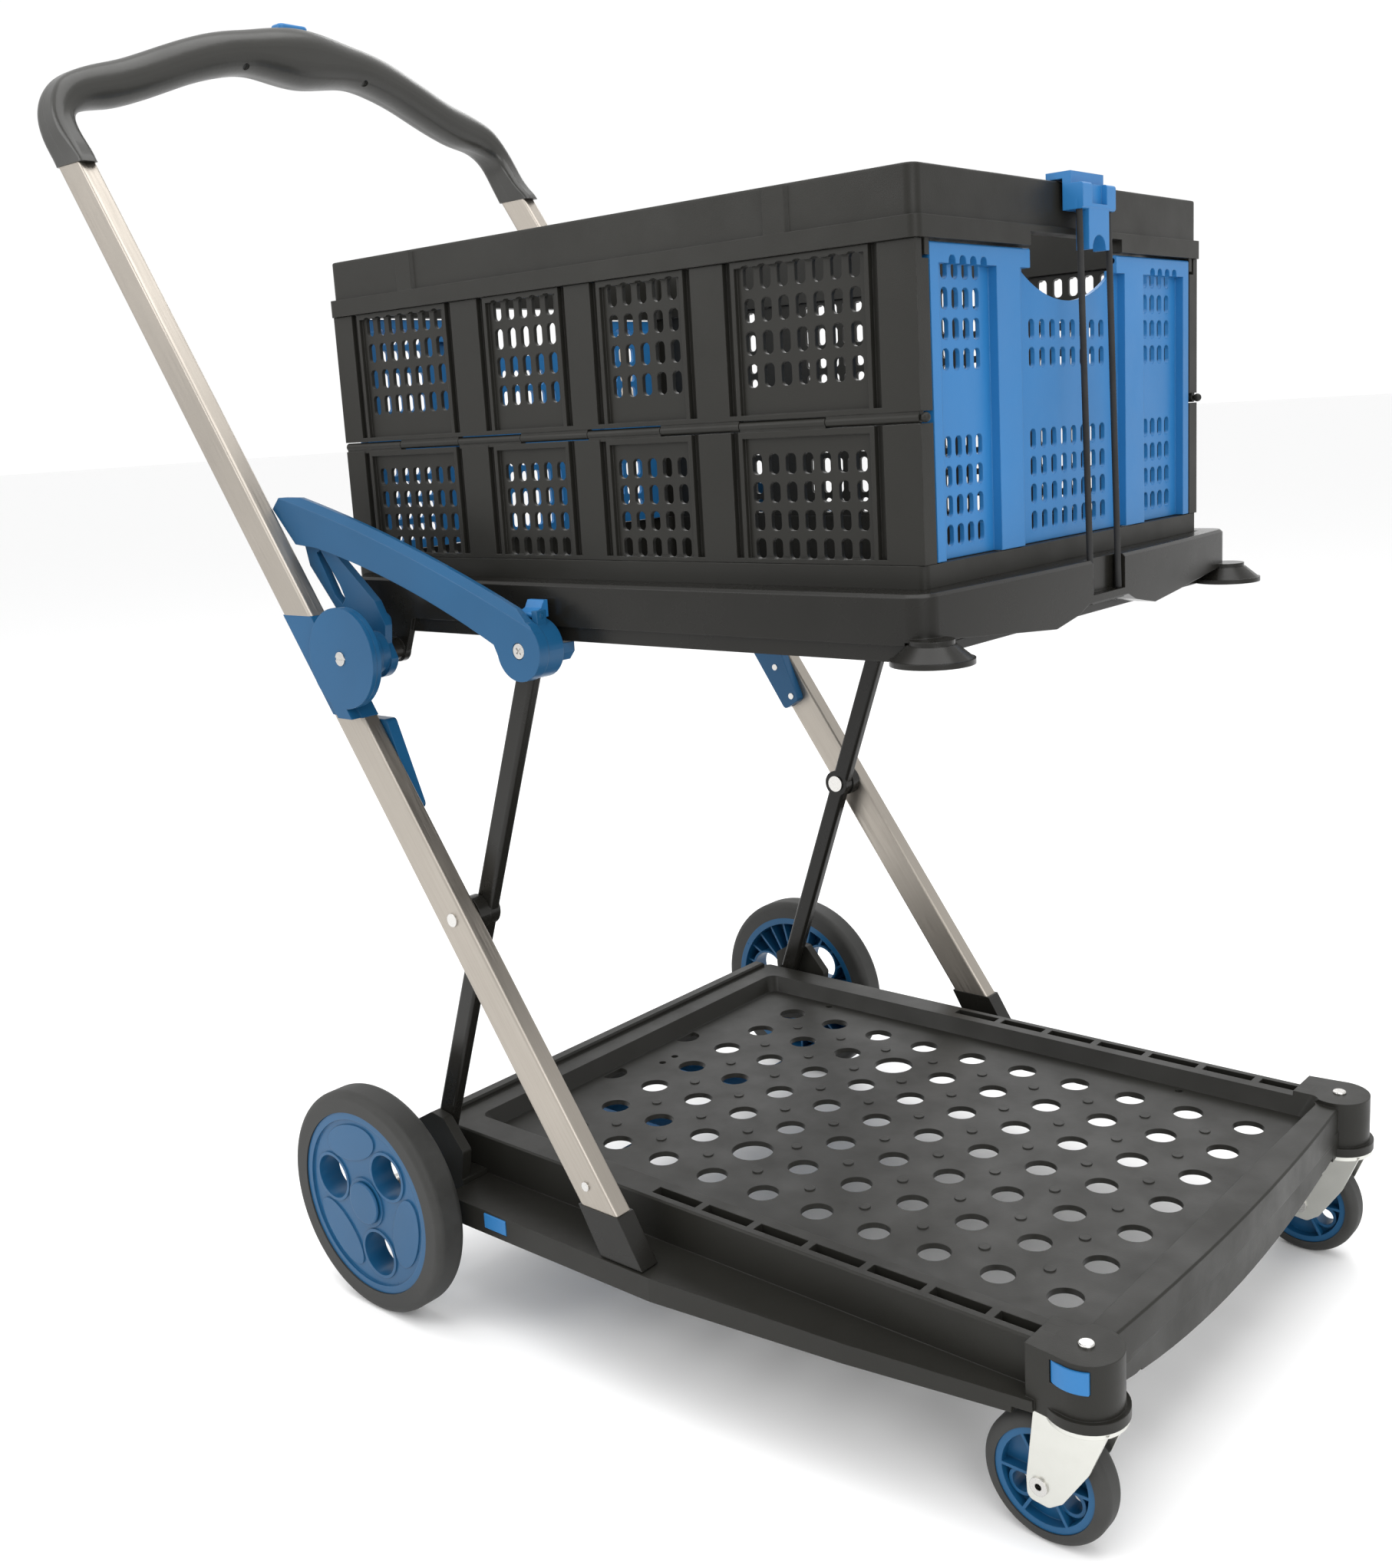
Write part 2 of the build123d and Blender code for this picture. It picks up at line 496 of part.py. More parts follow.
# drum at the rod's head, with the tab that the deck's rail rests on
CLIP_X = (41.0, 57.0)
with BuildPart() as rod_head:
    bar(HEAD_PIVOT[0], HEAD_PIVOT[1], HEAD_IN_Y, HEAD_OUT_Y, HEAD_R)
    with BuildSketch(side(ROD_TONGUE_IN_Y - 0.1)):
        Polygon(rod_point(ROD_LENGTH - 34, 7.2), rod_point(ROD_LENGTH, 7.2),
                rod_point(ROD_LENGTH, -7.2), rod_point(ROD_LENGTH - 34, -7.2), align=None)
        with Locations(HEAD_PIVOT):
            Circle(9.2)
    extrude(amount=ROD_TONGUE_OUT_Y - ROD_TONGUE_IN_Y + 0.2, mode=Mode.SUBTRACT)
    with BuildSketch(side(197)):
        Polygon((44, 513), (44, 522.6), (64, 522.6), (64, 516), (59, 510), (48, 510), align=None)
    extrude(amount=HEAD_IN_Y - 197)
    for x0 in (CLIP_X[0] - 5.5, CLIP_X[1] + 0.5):
        with BuildSketch(Plane.YZ.offset(x0)):
            Polygon((-228.7, 530), (-228.7, 547), (-220, 547), (-220, 530), align=None)
        extrude(amount=5)
    with Locations(Location(((CLIP_X[0] + CLIP_X[1]) / 2, -224.3, 543.6), (0, 90, 0))):
        Cylinder(1.6, CLIP_X[1] - CLIP_X[0] + 12)
    bar(HEAD_PIVOT[0], HEAD_PIVOT[1], 210, 232, PIN_R, mode=Mode.SUBTRACT)
save_group(rod_head, "rod_heads")

with BuildPart() as rail_clip:
    with BuildSketch(Plane.YZ.offset(CLIP_X[0])):
        Polygon((-224.3, 541.4), (-224.3, 545.8), (-219, 548), (-216, 553), (-212.6, 553),
                (-212.6, 541.4), align=None)
        with Locations((-224.3, 543.6)):
            Circle(2.25)
    extrude(amount=CLIP_X[1] - CLIP_X[0])
    with Locations(Location(((CLIP_X[0] + CLIP_X[1]) / 2, -224.3, 543.6), (0, 90, 0))):
        Cylinder(1.6 + RUNNING, 40, mode=Mode.SUBTRACT)
save_pair(rail_clip, "rail_clip")

# ---------------------------------------------------------------- legs
TUBE_WALL = 1.6
CORNER_R = 2.5
BLOCK_IN_Y = 228.9


def tube(z_low, z_high):
    """Right-hand metal tube with level ends, as a builder."""
    with BuildPart() as metal:
        with BuildSketch(side(TUBE_IN_Y)):
            Polygon(*band(z_low, z_high), align=None)
        extrude(amount=TUBE_OUT_Y - TUBE_IN_Y)
        fillet(metal.edges().filter_by(TUBE_LINE), CORNER_R)
        with BuildSketch(side(TUBE_IN_Y + TUBE_WALL)):
            Polygon(*band(z_low - 1, z_high + 1, 2.0), align=None)
        extrude(amount=TUBE_OUT_Y - TUBE_IN_Y - 2 * TUBE_WALL, mode=Mode.SUBTRACT)
    return metal


with BuildPart() as leg_tube:
    add(tube(FOOT_CUT_Z, HINGE_BOTTOM_Z).part)
    bar(MIDDLE_PIVOT[0], MIDDLE_PIVOT[1], 230, 260, 5.0, mode=Mode.SUBTRACT)
save_pair(leg_tube, "leg_tube")

with BuildPart() as foot_cap:
    with BuildSketch(side(TUBE_IN_Y - 0.2)):
        Polygon((85.5, FOOT_CUT_Z), (123.0, FOOT_CUT_Z), (143.0, 101), (104.5, 100.4), align=None)
    extrude(amount=TUBE_OUT_Y - TUBE_IN_Y + 0.8)
    fillet(foot_cap.edges().filter_by(Axis.Y).group_by(Axis.Z)[0], 1.5)
    with BuildSketch(side(TUBE_IN_Y + TUBE_WALL + 0.2)):
        Polygon(*band(FOOT_CUT_Z - 2, FOOT_CUT_Z + 28, 2.3), align=None)
    extrude(amount=TUBE_OUT_Y - TUBE_IN_Y - 2 * TUBE_WALL - 0.4)
save_group(foot_cap, "foot_caps")

with BuildPart() as leg_screws:
    bar(93.9, 149.9, TUBE_OUT_Y, TUBE_OUT_Y + 1.2, 3.4)
    for x, z in ((-98, 428), (-80, 401)):
        bar(x, z, BLOCK_IN_Y - 0.6, BLOCK_IN_Y, 3.0)
save_group(leg_screws, "leg_screws")

with BuildPart() as middle_pin:
    bar(MIDDLE_PIVOT[0], MIDDLE_PIVOT[1], 216.4, TUBE_OUT_Y + 1.2, 5.0)
    bar(MIDDLE_PIVOT[0], MIDDLE_PIVOT[1], 216.4, ROD_IN_Y - 0.1, 7.5)
save_group(middle_pin, "middle_pins")

with BuildPart() as middle_bush:
    bar(MIDDLE_PIVOT[0], MIDDLE_PIVOT[1], ROD_OUT_Y + 0.3, TUBE_IN_Y, 13)
    bar(MIDDLE_PIVOT[0], MIDDLE_PIVOT[1], 220, 240, 5.0, mode=Mode.SUBTRACT)
save_group(middle_bush, "middle_bushes")

# ---------------------------------------------------------------- hinge
CORE_R = 20.0
DISC_R = 37.3
CAP_R = 37.5
LEAN_LENGTH = math.hypot(TUBE_LEAN, 1)
UP_TUBE = (-TUBE_LEAN / LEAN_LENGTH, 1 / LEAN_LENGTH)


def from_hinge(along, above=0.0):
    """Point seen from the hinge pivot: square across the tube, and up the tube."""
    return (HINGE_PIVOT[0] - UP_TUBE[1] * along + UP_TUBE[0] * above,
            HINGE_PIVOT[1] + UP_TUBE[0] * along + UP_TUBE[1] * above)


LOWER_HALF = [from_hinge(-90, -0.25), from_hinge(90, -0.25), from_hinge(90, -150), from_hinge(-90, -150)]
LOWER_TAIL = [from_hinge(-90, -0.25), from_hinge(34, -0.25), from_hinge(34, -40.5), from_hinge(-90, -40.5)]
UPPER_HALF = [from_hinge(-90, 0.25), from_hinge(90, 0.25), from_hinge(90, 150), from_hinge(-90, 150)]

# lower sleeve: block in the tube's layer, outer disc, and the tail that joins them
with BuildPart() as lower_sleeve:
    with BuildSketch(side(TUBE_IN_Y)):
        Polygon(*band(HINGE_BOTTOM_Z, HINGE_TOP_Z), align=None)
        Polygon(*LOWER_HALF, align=None, mode=Mode.INTERSECT)
        with Locations(HINGE_PIVOT):
            Circle(CORE_R + 0.5, mode=Mode.SUBTRACT)
    extrude(amount=TUBE_OUT_Y - TUBE_IN_Y)
    with BuildSketch(side(TUBE_OUT_Y)):
        Polygon(*band(HINGE_BOTTOM_Z, HINGE_TOP_Z, 1.5), align=None)
        Polygon(*LOWER_TAIL, align=None, mode=Mode.INTERSECT)
        with Locations(HINGE_PIVOT):
            Circle(CAP_R + 0.4, mode=Mode.SUBTRACT)
    extrude(amount=CAP_IN_Y - TUBE_OUT_Y)
    with BuildSketch(side(CAP_IN_Y)):
        Polygon(*band(HINGE_BOTTOM_Z, HINGE_TOP_Z, 1.5), align=None)
        Polygon(*LOWER_TAIL, align=None, mode=Mode.INTERSECT)
        with Locations(HINGE_PIVOT):
            Circle(CAP_R)
    extrude(amount=CAP_OUT_Y - CAP_IN_Y)
    with BuildSketch(side(TUBE_IN_Y + TUBE_WALL + 0.2)):
        Polygon(*band(HINGE_BOTTOM_Z - 30, HINGE_BOTTOM_Z + 2, 2.3), align=None)
    extrude(amount=TUBE_OUT_Y - TUBE_IN_Y - 2 * TUBE_WALL - 0.4)
    bar(HINGE_PIVOT[0], HINGE_PIVOT[1], 230, 264, PIN_R, mode=Mode.SUBTRACT)
save_pair(lower_sleeve, "lower_sleeve")

with BuildPart() as hinge_block:
    with BuildSketch(side(BLOCK_IN_Y)):
        Polygon((-88, 387.4), (-71.6, 397.8), (-98, 462), (-137, 462), align=None)
    extrude(amount=TUBE_IN_Y - 0.1 - BLOCK_IN_Y)
    fillet(hinge_block.edges().filter_by(Axis.Y), 4)
save_group(hinge_block, "hinge_blocks")

with BuildPart() as hinge_pin:
    bar(HINGE_PIVOT[0], HINGE_PIVOT[1], 206, CAP_OUT_Y, PIN_R)
    bar(HINGE_PIVOT[0], HINGE_PIVOT[1], CAP_OUT_Y, CAP_OUT_Y + 1.0, 5.2)
    block(HINGE_PIVOT[0] - 6, HINGE_PIVOT[0] + 6, -CAP_OUT_Y - 2, -CAP_OUT_Y - 0.3,
          HINGE_PIVOT[1] - 0.9, HINGE_PIVOT[1] + 0.9, mode=Mode.SUBTRACT)
save_group(hinge_pin, "hinge_pins")

# upper sleeve: block in the tube's layer, hinge core and inner disc
with BuildPart() as upper_sleeve:
    with BuildSketch(side(TUBE_IN_Y)):
        Polygon(*band(HINGE_BOTTOM_Z, HINGE_TOP_Z), align=None)
        Polygon(*UPPER_HALF, align=None, mode=Mode.INTERSECT)
        Polygon(from_hinge(0, 19), from_hinge(30, 19), from_hinge(30, 0.25), from_hinge(0, 0.25),
                align=None)
        with Locations(HINGE_PIVOT):
            Circle(CORE_R)
    extrude(amount=TUBE_OUT_Y - TUBE_IN_Y)
    with BuildSketch(side(TUBE_OUT_Y)):
        with Locations(HINGE_PIVOT):
            Circle(CORE_R)
    extrude(amount=DISC_IN_Y - TUBE_OUT_Y)
    with BuildSketch(side(DISC_IN_Y)):
        with Locations(HINGE_PIVOT):
            Circle(DISC_R)
    extrude(amount=DISC_OUT_Y - DISC_IN_Y)
    with BuildSketch(side(TRACK_OUT_Y)):
        with Locations(HINGE_PIVOT):
            Circle(16)
    extrude(amount=TUBE_IN_Y - TRACK_OUT_Y)
    with BuildSketch(side(TUBE_IN_Y + TUBE_WALL + 0.2)):
        Polygon(*band(HINGE_TOP_Z - 2, HINGE_TOP_Z + 30, 2.3), align=None)
    extrude(amount=TUBE_OUT_Y - TUBE_IN_Y - 2 * TUBE_WALL - 0.4)
    # slotted track blade on the inner side
    with BuildSketch(side(TRACK_IN_Y)):
        with BuildLine():
            Polyline((-103, 517), (-101, 531), (-111, 548.5), (-149, 580), (-176, 596), (-190, 590),
                     (-186, 574), (-150, 532), (-133, 506))
            ThreePointArc((-133, 506), (-113.6, 491), (-97, 506))
            Line((-97, 506), (-103, 517))
        make_face()
        with BuildLine():
            Polyline((-176, 584), (-158, 552), (-150, 545), (-146, 550), (-151, 560), (-171, 586))
            Line((-171, 586), (-176, 584))
        make_face(mode=Mode.SUBTRACT)
    extrude(amount=TRACK_OUT_Y - TRACK_IN_Y)
    bar(-109, 533, TRACK_IN_Y - 1.5, TRACK_IN_Y + 1, 6)
    bar(HINGE_PIVOT[0], HINGE_PIVOT[1], 215, 264, PIN_R + 2 * RUNNING, mode=Mode.SUBTRACT)
save_pair(upper_sleeve, "upper_sleeve")

# ---------------------------------------------------------------- handle
with BuildPart() as handle_tube:
    add(tube(HINGE_TOP_Z, TUBE_TOP_Z).part)
save_pair(handle_tube, "handle_tube")

# grip: one lofted bow, split by a slanted seam into a front and a rear shell.
# Each station: centre, depth front to back, thickness, corner radius.
GRIP_STATIONS = (
    ((-413.0, -246.0, TUBE_TOP_Z - 15.0), 36.5, 16.6, 4.0),
    ((-423.3, -246.0, TUBE_TOP_Z), 36.5, 16.6, 4.0),
    ((-437.0, -246.2, 920.0), 33.0, 17.6, 5.0),
    ((-448.5, -244.5, 941.0), 34.0, 21.0, 8.0),
    ((-453.5, -234.0, 957.5), 36.0, 29.0, 12.0),
    ((-454.0, -194.0, 972.5), 37.0, 36.0, 16.0),
    ((-450.5, -130.0, 995.0), 38.0, 36.0, 16.0),
    ((-447.5, -70.0, 1012.0), 41.0, 37.0, 16.5),
)
GRIP_MIDDLE = ((-447.1, 0.0, 1015.0), 48.0, 52.0, 20.0)
GRIP_SECTIONS = 36
BUTTON_X = (-461.0, -444.0)
BUTTON_TOP_Z = 1045.5
BUTTON_HALF_Y = 16.0
GRIP_SCREWS = ((-438.0, 195.0, 953.5), (-434.0, 66.0, 1000.0))


def other_side(station):
    """Mirror image of a grip station."""
    (x, y, z), depth, thick, corner = station
    return ((x, -y, z), depth, thick, corner)


BOW = GRIP_STATIONS + (GRIP_MIDDLE,) + tuple(other_side(s) for s in reversed(GRIP_STATIONS))
with BuildLine() as bow_line:
    Spline(*[centre for centre, *sizes in BOW], tangents=((-0.567, 0.0, 0.823), (0.567, 0.0, -0.823)))
STEPS = [math.dist(first[0], second[0]) for first, second in zip(BOW, BOW[1:])]


def section_sizes(fraction):
    """Depth, thickness and corner radius eased between the stations along the bow."""
    run = fraction * sum(STEPS)
    for step, first, second in zip(STEPS, BOW, BOW[1:]):
        if run <= step or second is BOW[-1]:
            share = min(1.0, run / step)
            share = share * share * (3 - 2 * share)
            return [a + (b - a) * share for a, b in zip(first[1:], second[1:])]
        run -= step


SEAM_LINE = ((-424.0, 899.0), (-437.5, 920.0), (-450.0, 943.0), (-455.5, 960.0), (-455.0, 975.0),
             (-452.0, 1000.0), (-452.5, 1050.0))

with BuildPart() as grip:
    for i in range(GRIP_SECTIONS + 1):
        fraction = i / GRIP_SECTIONS
        depth, thick, corner = section_sizes(fraction)
        with BuildSketch(Plane(origin=bow_line.line @ fraction, x_dir=(1, 0, 0),
                               z_dir=bow_line.line % fraction)):
            RectangleRounded(depth, thick, corner)
    loft()
    # both ends stand flat on the tubes
    block(-480, -380, -280, 280, TUBE_TOP_Z - 60, TUBE_TOP_Z, mode=Mode.SUBTRACT)
    block(BUTTON_X[0] - 0.3, BUTTON_X[1] + 0.3, -BUTTON_HALF_Y - 0.3, BUTTON_HALF_Y + 0.3, 1024, 1060,
          mode=Mode.SUBTRACT)
    for x, y, z in GRIP_SCREWS:
        for s in (-1, 1):
            with Locations(Location((x, s * y, z), (0, -60, 0))):
                Cylinder(3.4, 40, align=(Align.CENTER, Align.CENTER, Align.MIN), mode=Mode.SUBTRACT,
                         rotation=(0, 180, 0))

with BuildPart() as grip_ahead:
    with BuildSketch(side(-300)):
        with BuildLine():
            Spline(*SEAM_LINE)
            Polyline(SEAM_LINE[-1], (-380.0, 1050.0), (-380.0, 899.0), SEAM_LINE[0])
        make_face()
    extrude(amount=600)

with BuildPart() as grip_front:
    add(grip.part)
    add(grip_ahead.part, mode=Mode.INTERSECT)
save(grip_front, "grip_front_shell")

with BuildPart() as grip_rear:
    add(grip.part)
    add(grip_ahead.part, mode=Mode.SUBTRACT)
save(grip_rear, "grip_rear_shell")

with BuildPart() as handle_button:
    block(*BUTTON_X, -BUTTON_HALF_Y, BUTTON_HALF_Y, 1029, BUTTON_TOP_Z)
    fillet(handle_button.edges().filter_by(Axis.Z), 5)
    fillet(handle_button.edges().group_by(Axis.Z)[-1], 2.5)
save(handle_button, "handle_button")

# ---------------------------------------------------------------- top arms
with BuildPart() as top_arm:
    with BuildSketch(side(ARM_IN_Y)):
        with BuildLine():
            Line((-205, 626.5), (-184, 626.0))
            ThreePointArc((-184, 626.0), (-62, 590.2), (47, 549))
            Line((47, 549), (68, 533))
            Line((68, 533), (34, 509))
            Line((34, 509), (26.9, 524))
            ThreePointArc((26.9, 524), (-64, 561.0), (-164, 588.5))
            Line((-164, 588.5), (-189, 591))
            Line((-189, 591), (-214, 618))
            Line((-214, 618), (-205, 626.5))
        make_face()
        with Locations(HEAD_PIVOT):
            Circle(21)
    extrude(amount=ARM_OUT_Y - ARM_IN_Y)
    chamfer(top_arm.edges().filter_by(GeomType.CIRCLE).group_by(Axis.Y)[0]
            .filter_by(lambda e: e.radius > 100 and e.center().Z > 575), 5)
    bar(HEAD_PIVOT[0], HEAD_PIVOT[1], 220, 240, PIN_R + RUNNING, mode=Mode.SUBTRACT)
    bar(HEAD_PIVOT[0], HEAD_PIVOT[1], ARM_OUT_Y - 2.6, 240, 5.8, mode=Mode.SUBTRACT)
save_pair(top_arm, "top_arm")

with BuildPart() as head_screw:
    bar(HEAD_PIVOT[0], HEAD_PIVOT[1], HEAD_IN_Y, ARM_OUT_Y - 2.4, PIN_R)
    bar(HEAD_PIVOT[0], HEAD_PIVOT[1], ARM_OUT_Y - 2.4, ARM_OUT_Y - 0.2, 5.3)
    for turn in (45, 135):
        with Locations(Location((HEAD_PIVOT[0], -ARM_OUT_Y, HEAD_PIVOT[1]), (0, turn, 0))):
            Box(6, 2.4, 1.2, mode=Mode.SUBTRACT)
save_group(head_screw, "head_screws")

# ---------------------------------------------------------------- upper deck
DECK_FLOOR_Z = 530.0
STRAND_Y = 19.5
LUG_X, LUG_Y = 357.0, 204.0
with BuildPart() as deck:
    with BuildSketch(Plane.XY.offset(DECK_BOTTOM_Z)):
        with BuildLine():
            Polyline((DECK_FRONT_X - 6, -DECK_HALF_Y), (DECK_REAR_X + 40, -DECK_HALF_Y),
                     (DECK_REAR_X, -DECK_HALF_Y + 40), (DECK_REAR_X, DECK_HALF_Y - 40),
                     (DECK_REAR_X + 40, DECK_HALF_Y), (DECK_FRONT_X - 6, DECK_HALF_Y))
            ThreePointArc((DECK_FRONT_X - 6, DECK_HALF_Y), (DECK_FRONT_X + 2, 0),
                          (DECK_FRONT_X - 6, -DECK_HALF_Y))
        make_face()
    extrude(amount=DECK_TOP_Z - DECK_BOTTOM_Z)
    fillet(deck.edges().filter_by(Axis.Z).group_by(Axis.X)[-1], 14)
    chamfer(deck.faces().sort_by(Axis.Z)[-1].edges(), 2)
    # pocket that the crate's base stands in
    block(CRATE_REAR_X - 1, CRATE_FRONT_X + 1, -CRATE_HALF_Y - 1, CRATE_HALF_Y + 1, DECK_FLOOR_Z, 600,
          mode=Mode.SUBTRACT)
    # side rails: the lower edge is set back under a lip
    for s in (-1, 1):
        block(DECK_REAR_X, DECK_FRONT_X + 5, s * (DECK_HALF_Y - 3), s * (DECK_HALF_Y + 2),
              DECK_BOTTOM_Z - 1, 534, mode=Mode.SUBTRACT)
    # front skirt: rises at the corners and round the strand notch
    with BuildSketch(Plane.YZ.offset(DECK_FRONT_X - 20)):
        for s in (-1, 1):
            Polygon((s * 230, 500), (s * 230, 536), (s * 190, 536), (s * 70, 525.5), (s * 40, 531),
                    (s * 28, 536), (0, 536), (0, 500), align=None)
    extrude(amount=40, mode=Mode.SUBTRACT)
    block(DECK_FRONT_X - 5.5, DECK_FRONT_X + 5, -22.5, 22.5, 541, 570, mode=Mode.SUBTRACT)
    block(DECK_FRONT_X - 14, DECK_FRONT_X + 1, -22.5, 22.5, 535, 541)
    # lightening holes in the floor
    with BuildSketch(Plane.XY.offset(DECK_BOTTOM_Z)):
        with Locations(((CRATE_REAR_X + CRATE_FRONT_X) / 2, 0)):
            with GridLocations(58, 58, 8, 6):
                RectangleRounded(46, 46, 6)
    extrude(amount=DECK_FLOOR_Z - DECK_BOTTOM_Z, mode=Mode.SUBTRACT)
    for s in (-1, 1):
        # round lugs under the front corners
        with Locations((LUG_X, s * LUG_Y, 524.2)):
            Cylinder(24.5, 3.2, align=(Align.CENTER, Align.CENTER, Align.MIN))
            Cylinder(13, 14, align=(Align.CENTER, Align.CENTER, Align.MIN))
        with Locations((LUG_X, s * LUG_Y, 527.4)):
            Cone(23.5, 14, 8, align=(Align.CENTER, Align.CENTER, Align.MIN))
    # hinge brackets with their round bosses
    for s in (-1, 1):
        with BuildSketch(Plane.XZ.offset(204 if s < 0 else -209)):
            with Locations(HINGE_PIVOT):
                Circle(10)
            Polygon((-138, 536), (-92, 536), (-104.5, 507), (-122.5, 507), align=None)
        extrude(amount=5)
        with Locations(Location((HINGE_PIVOT[0], s * 215, HINGE_PIVOT[1]), (90, 0, 0))):
            Cylinder(8.5, 12.4)
        with Locations(Location((HINGE_PIVOT[0], s * 212, HINGE_PIVOT[1]), (90, 0, 0))):
            Cylinder(PIN_R + 2 * RUNNING, 24, mode=Mode.SUBTRACT)
save(deck, "upper_deck")

# ---------------------------------------------------------------- crate
CRATE_MID_X = (CRATE_REAR_X + CRATE_FRONT_X) / 2
CRATE_LENGTH = CRATE_FRONT_X - CRATE_REAR_X
BASE_Z = 530.2
with BuildPart() as crate_base:
    with BuildSketch(Plane.XY.offset(BASE_Z)):
        with Locations((CRATE_MID_X, 0)):
            RectangleRounded(CRATE_LENGTH, 2 * CRATE_HALF_Y, 5)
    extrude(amount=CRATE_BASE_TOP_Z - BASE_Z)
    with BuildSketch(Plane.XY.offset(BASE_Z + 4)):
        with Locations((CRATE_MID_X, 0)):
            RectangleRounded(CRATE_LENGTH - 12, 2 * CRATE_HALF_Y - 12, 4)
    extrude(amount=80, mode=Mode.SUBTRACT)
    with BuildSketch(Plane.XY.offset(BASE_Z)):
        with Locations((CRATE_MID_X, 0)):
            with GridLocations(42, 42, 11, 8):
                Rectangle(32, 32)
    extrude(amount=5, mode=Mode.SUBTRACT)
save(crate_base, "crate_base")

RIM_WALL = 9.0
HAND_HALF_Y = 58.0
PIN_LINE_Z = 754.0
with BuildPart() as crate_rim:
    with BuildSketch(Plane.XY.offset(RIM_BAND_Z)):
        with Locations((CRATE_MID_X, 0)):
            RectangleRounded(CRATE_LENGTH, 2 * CRATE_HALF_Y, 7)
            RectangleRounded(CRATE_LENGTH - 2 * RIM_WALL, 2 * (CRATE_HALF_Y - RIM_WALL), 4,
                             mode=Mode.SUBTRACT)
    extrude(amount=CRATE_TOP_Z - RIM_BAND_Z)
    with BuildSketch(Plane.XY.offset(FLANGE_Z)):
        with Locations((CRATE_MID_X, 0)):
            RectangleRounded(CRATE_LENGTH + 5, 2 * CRATE_HALF_Y + 5, 6)
            RectangleRounded(CRATE_LENGTH - 2 * RIM_WALL, 2 * (CRATE_HALF_Y - RIM_WALL), 4,
                             mode=Mode.SUBTRACT)
    extrude(amount=RIM_BAND_Z - FLANGE_Z)
    fillet(crate_rim.edges().group_by(Axis.Z)[-1], 1.5)
    # notched upright ribs on the long sides
    for x0 in (-105.0, 235.0):
        for s in (-1, 1):
            with BuildSketch(Plane.XY.offset(RIM_BAND_Z - 1)):
                Polygon((x0, s * (CRATE_HALF_Y - 2)), (x0 + 3, s * (CRATE_HALF_Y + 2.4)),
                        (x0 + 19, s * (CRATE_HALF_Y + 2.4)), (x0 + 22, s * (CRATE_HALF_Y - 2)), align=None)
            extrude(amount=CRATE_TOP_Z - RIM_BAND_Z - 0.5)
    # the band arches up over both hand holes
    block(CRATE_REAR_X - 5, CRATE_FRONT_X + 5, -HAND_HALF_Y - 3, HAND_HALF_Y + 3, FLANGE_Z - 1,
          RIM_BAND_Z - 4, mode=Mode.SUBTRACT)
    # lugs that carry the end panels' pins
    for x in (CRATE_REAR_X + 3.5, CRATE_FRONT_X - 3.5):
        for s in (-1, 1):
            block(x - 3.5, x + 3.5, s * 171.8, s * 176.2, PIN_LINE_Z - 4, FLANGE_Z + 1)
    for x in (CRATE_REAR_X + 3.5, CRATE_FRONT_X - 3.5):
        with Locations(Location((x, 0, PIN_LINE_Z), (90, 0, 0))):
            Cylinder(2.0, 400, mode=Mode.SUBTRACT)
save(crate_rim, "crate_rim")

# slot bays of the long sides: middle, columns
SIDE_BAYS = ((-105.3, 7), (22.8, 5), (133.3, 5), (259.7, 7))
SLOT_PITCH_X = 13.0
SLOT_ROWS = 4


def side_panel(z0, z1, first_row, row_pitch, slot_height):
    """One slotted long-side panel, with returns at its ends."""
    with BuildPart() as panel:
        block(CRATE_REAR_X, CRATE_FRONT_X, -CRATE_HALF_Y, -CRATE_HALF_Y + PANEL_THICK, z0, z1)
        for x0, x1 in ((CRATE_REAR_X, CRATE_REAR_X + 6), (CRATE_FRONT_X - 6, CRATE_FRONT_X)):
            block(x0, x1, -CRATE_HALF_Y, -172.6, z0, min(z1, 748))
        # each bay is sunk between upright ribs
        for middle, columns in SIDE_BAYS:
            width = columns * SLOT_PITCH_X
            block(middle - width / 2 - 2, middle + width / 2 + 2, -CRATE_HALF_Y - 1, -CRATE_HALF_Y + 3,
                  z0 + 3, z1 - 4, mode=Mode.SUBTRACT)
            for edge in (-1, 1):
                groove = middle + edge * (width / 2 + 8)
                block(groove - 3, groove + 3, -CRATE_HALF_Y - 1, -CRATE_HALF_Y + 4, z0 + 3, z1,
                      mode=Mode.SUBTRACT)
        with BuildSketch(side(150)):
            for middle, columns in SIDE_BAYS:
                with Locations((middle, first_row + row_pitch * (SLOT_ROWS - 1) / 2)):
                    with GridLocations(SLOT_PITCH_X, row_pitch, columns, SLOT_ROWS):
                        RectangleRounded(SLOT_W, slot_height, 3.2)
        extrude(amount=60, mode=Mode.SUBTRACT)
    return panel


HINGE_LINE_Y = -CRATE_HALF_Y + 2.6
KNUCKLE_R = 3.0
KNUCKLE_LENGTH = 64.8
KNUCKLE_PITCH = 131.0
PANEL_PIN_R = 1.5


def knuckles(first_x, panel_edge_z):
    """Four bored knuckles on the panel's hinge edge."""
    with BuildPart() as row:
        for i in range(4):
            with BuildSketch(Plane.YZ.offset(first_x + i * KNUCKLE_PITCH)):
                with Locations((HINGE_LINE_Y, CRATE_MID_Z)):
                    Circle(KNUCKLE_R)
                with Locations((HINGE_LINE_Y + 0.3, (CRATE_MID_Z + panel_edge_z) / 2)):
                    Rectangle(4.6, abs(CRATE_MID_Z - panel_edge_z))
                with Locations((HINGE_LINE_Y, CRATE_MID_Z)):
                    Circle(PANEL_PIN_R + RUNNING, mode=Mode.SUBTRACT)
            extrude(amount=KNUCKLE_LENGTH)
    return row


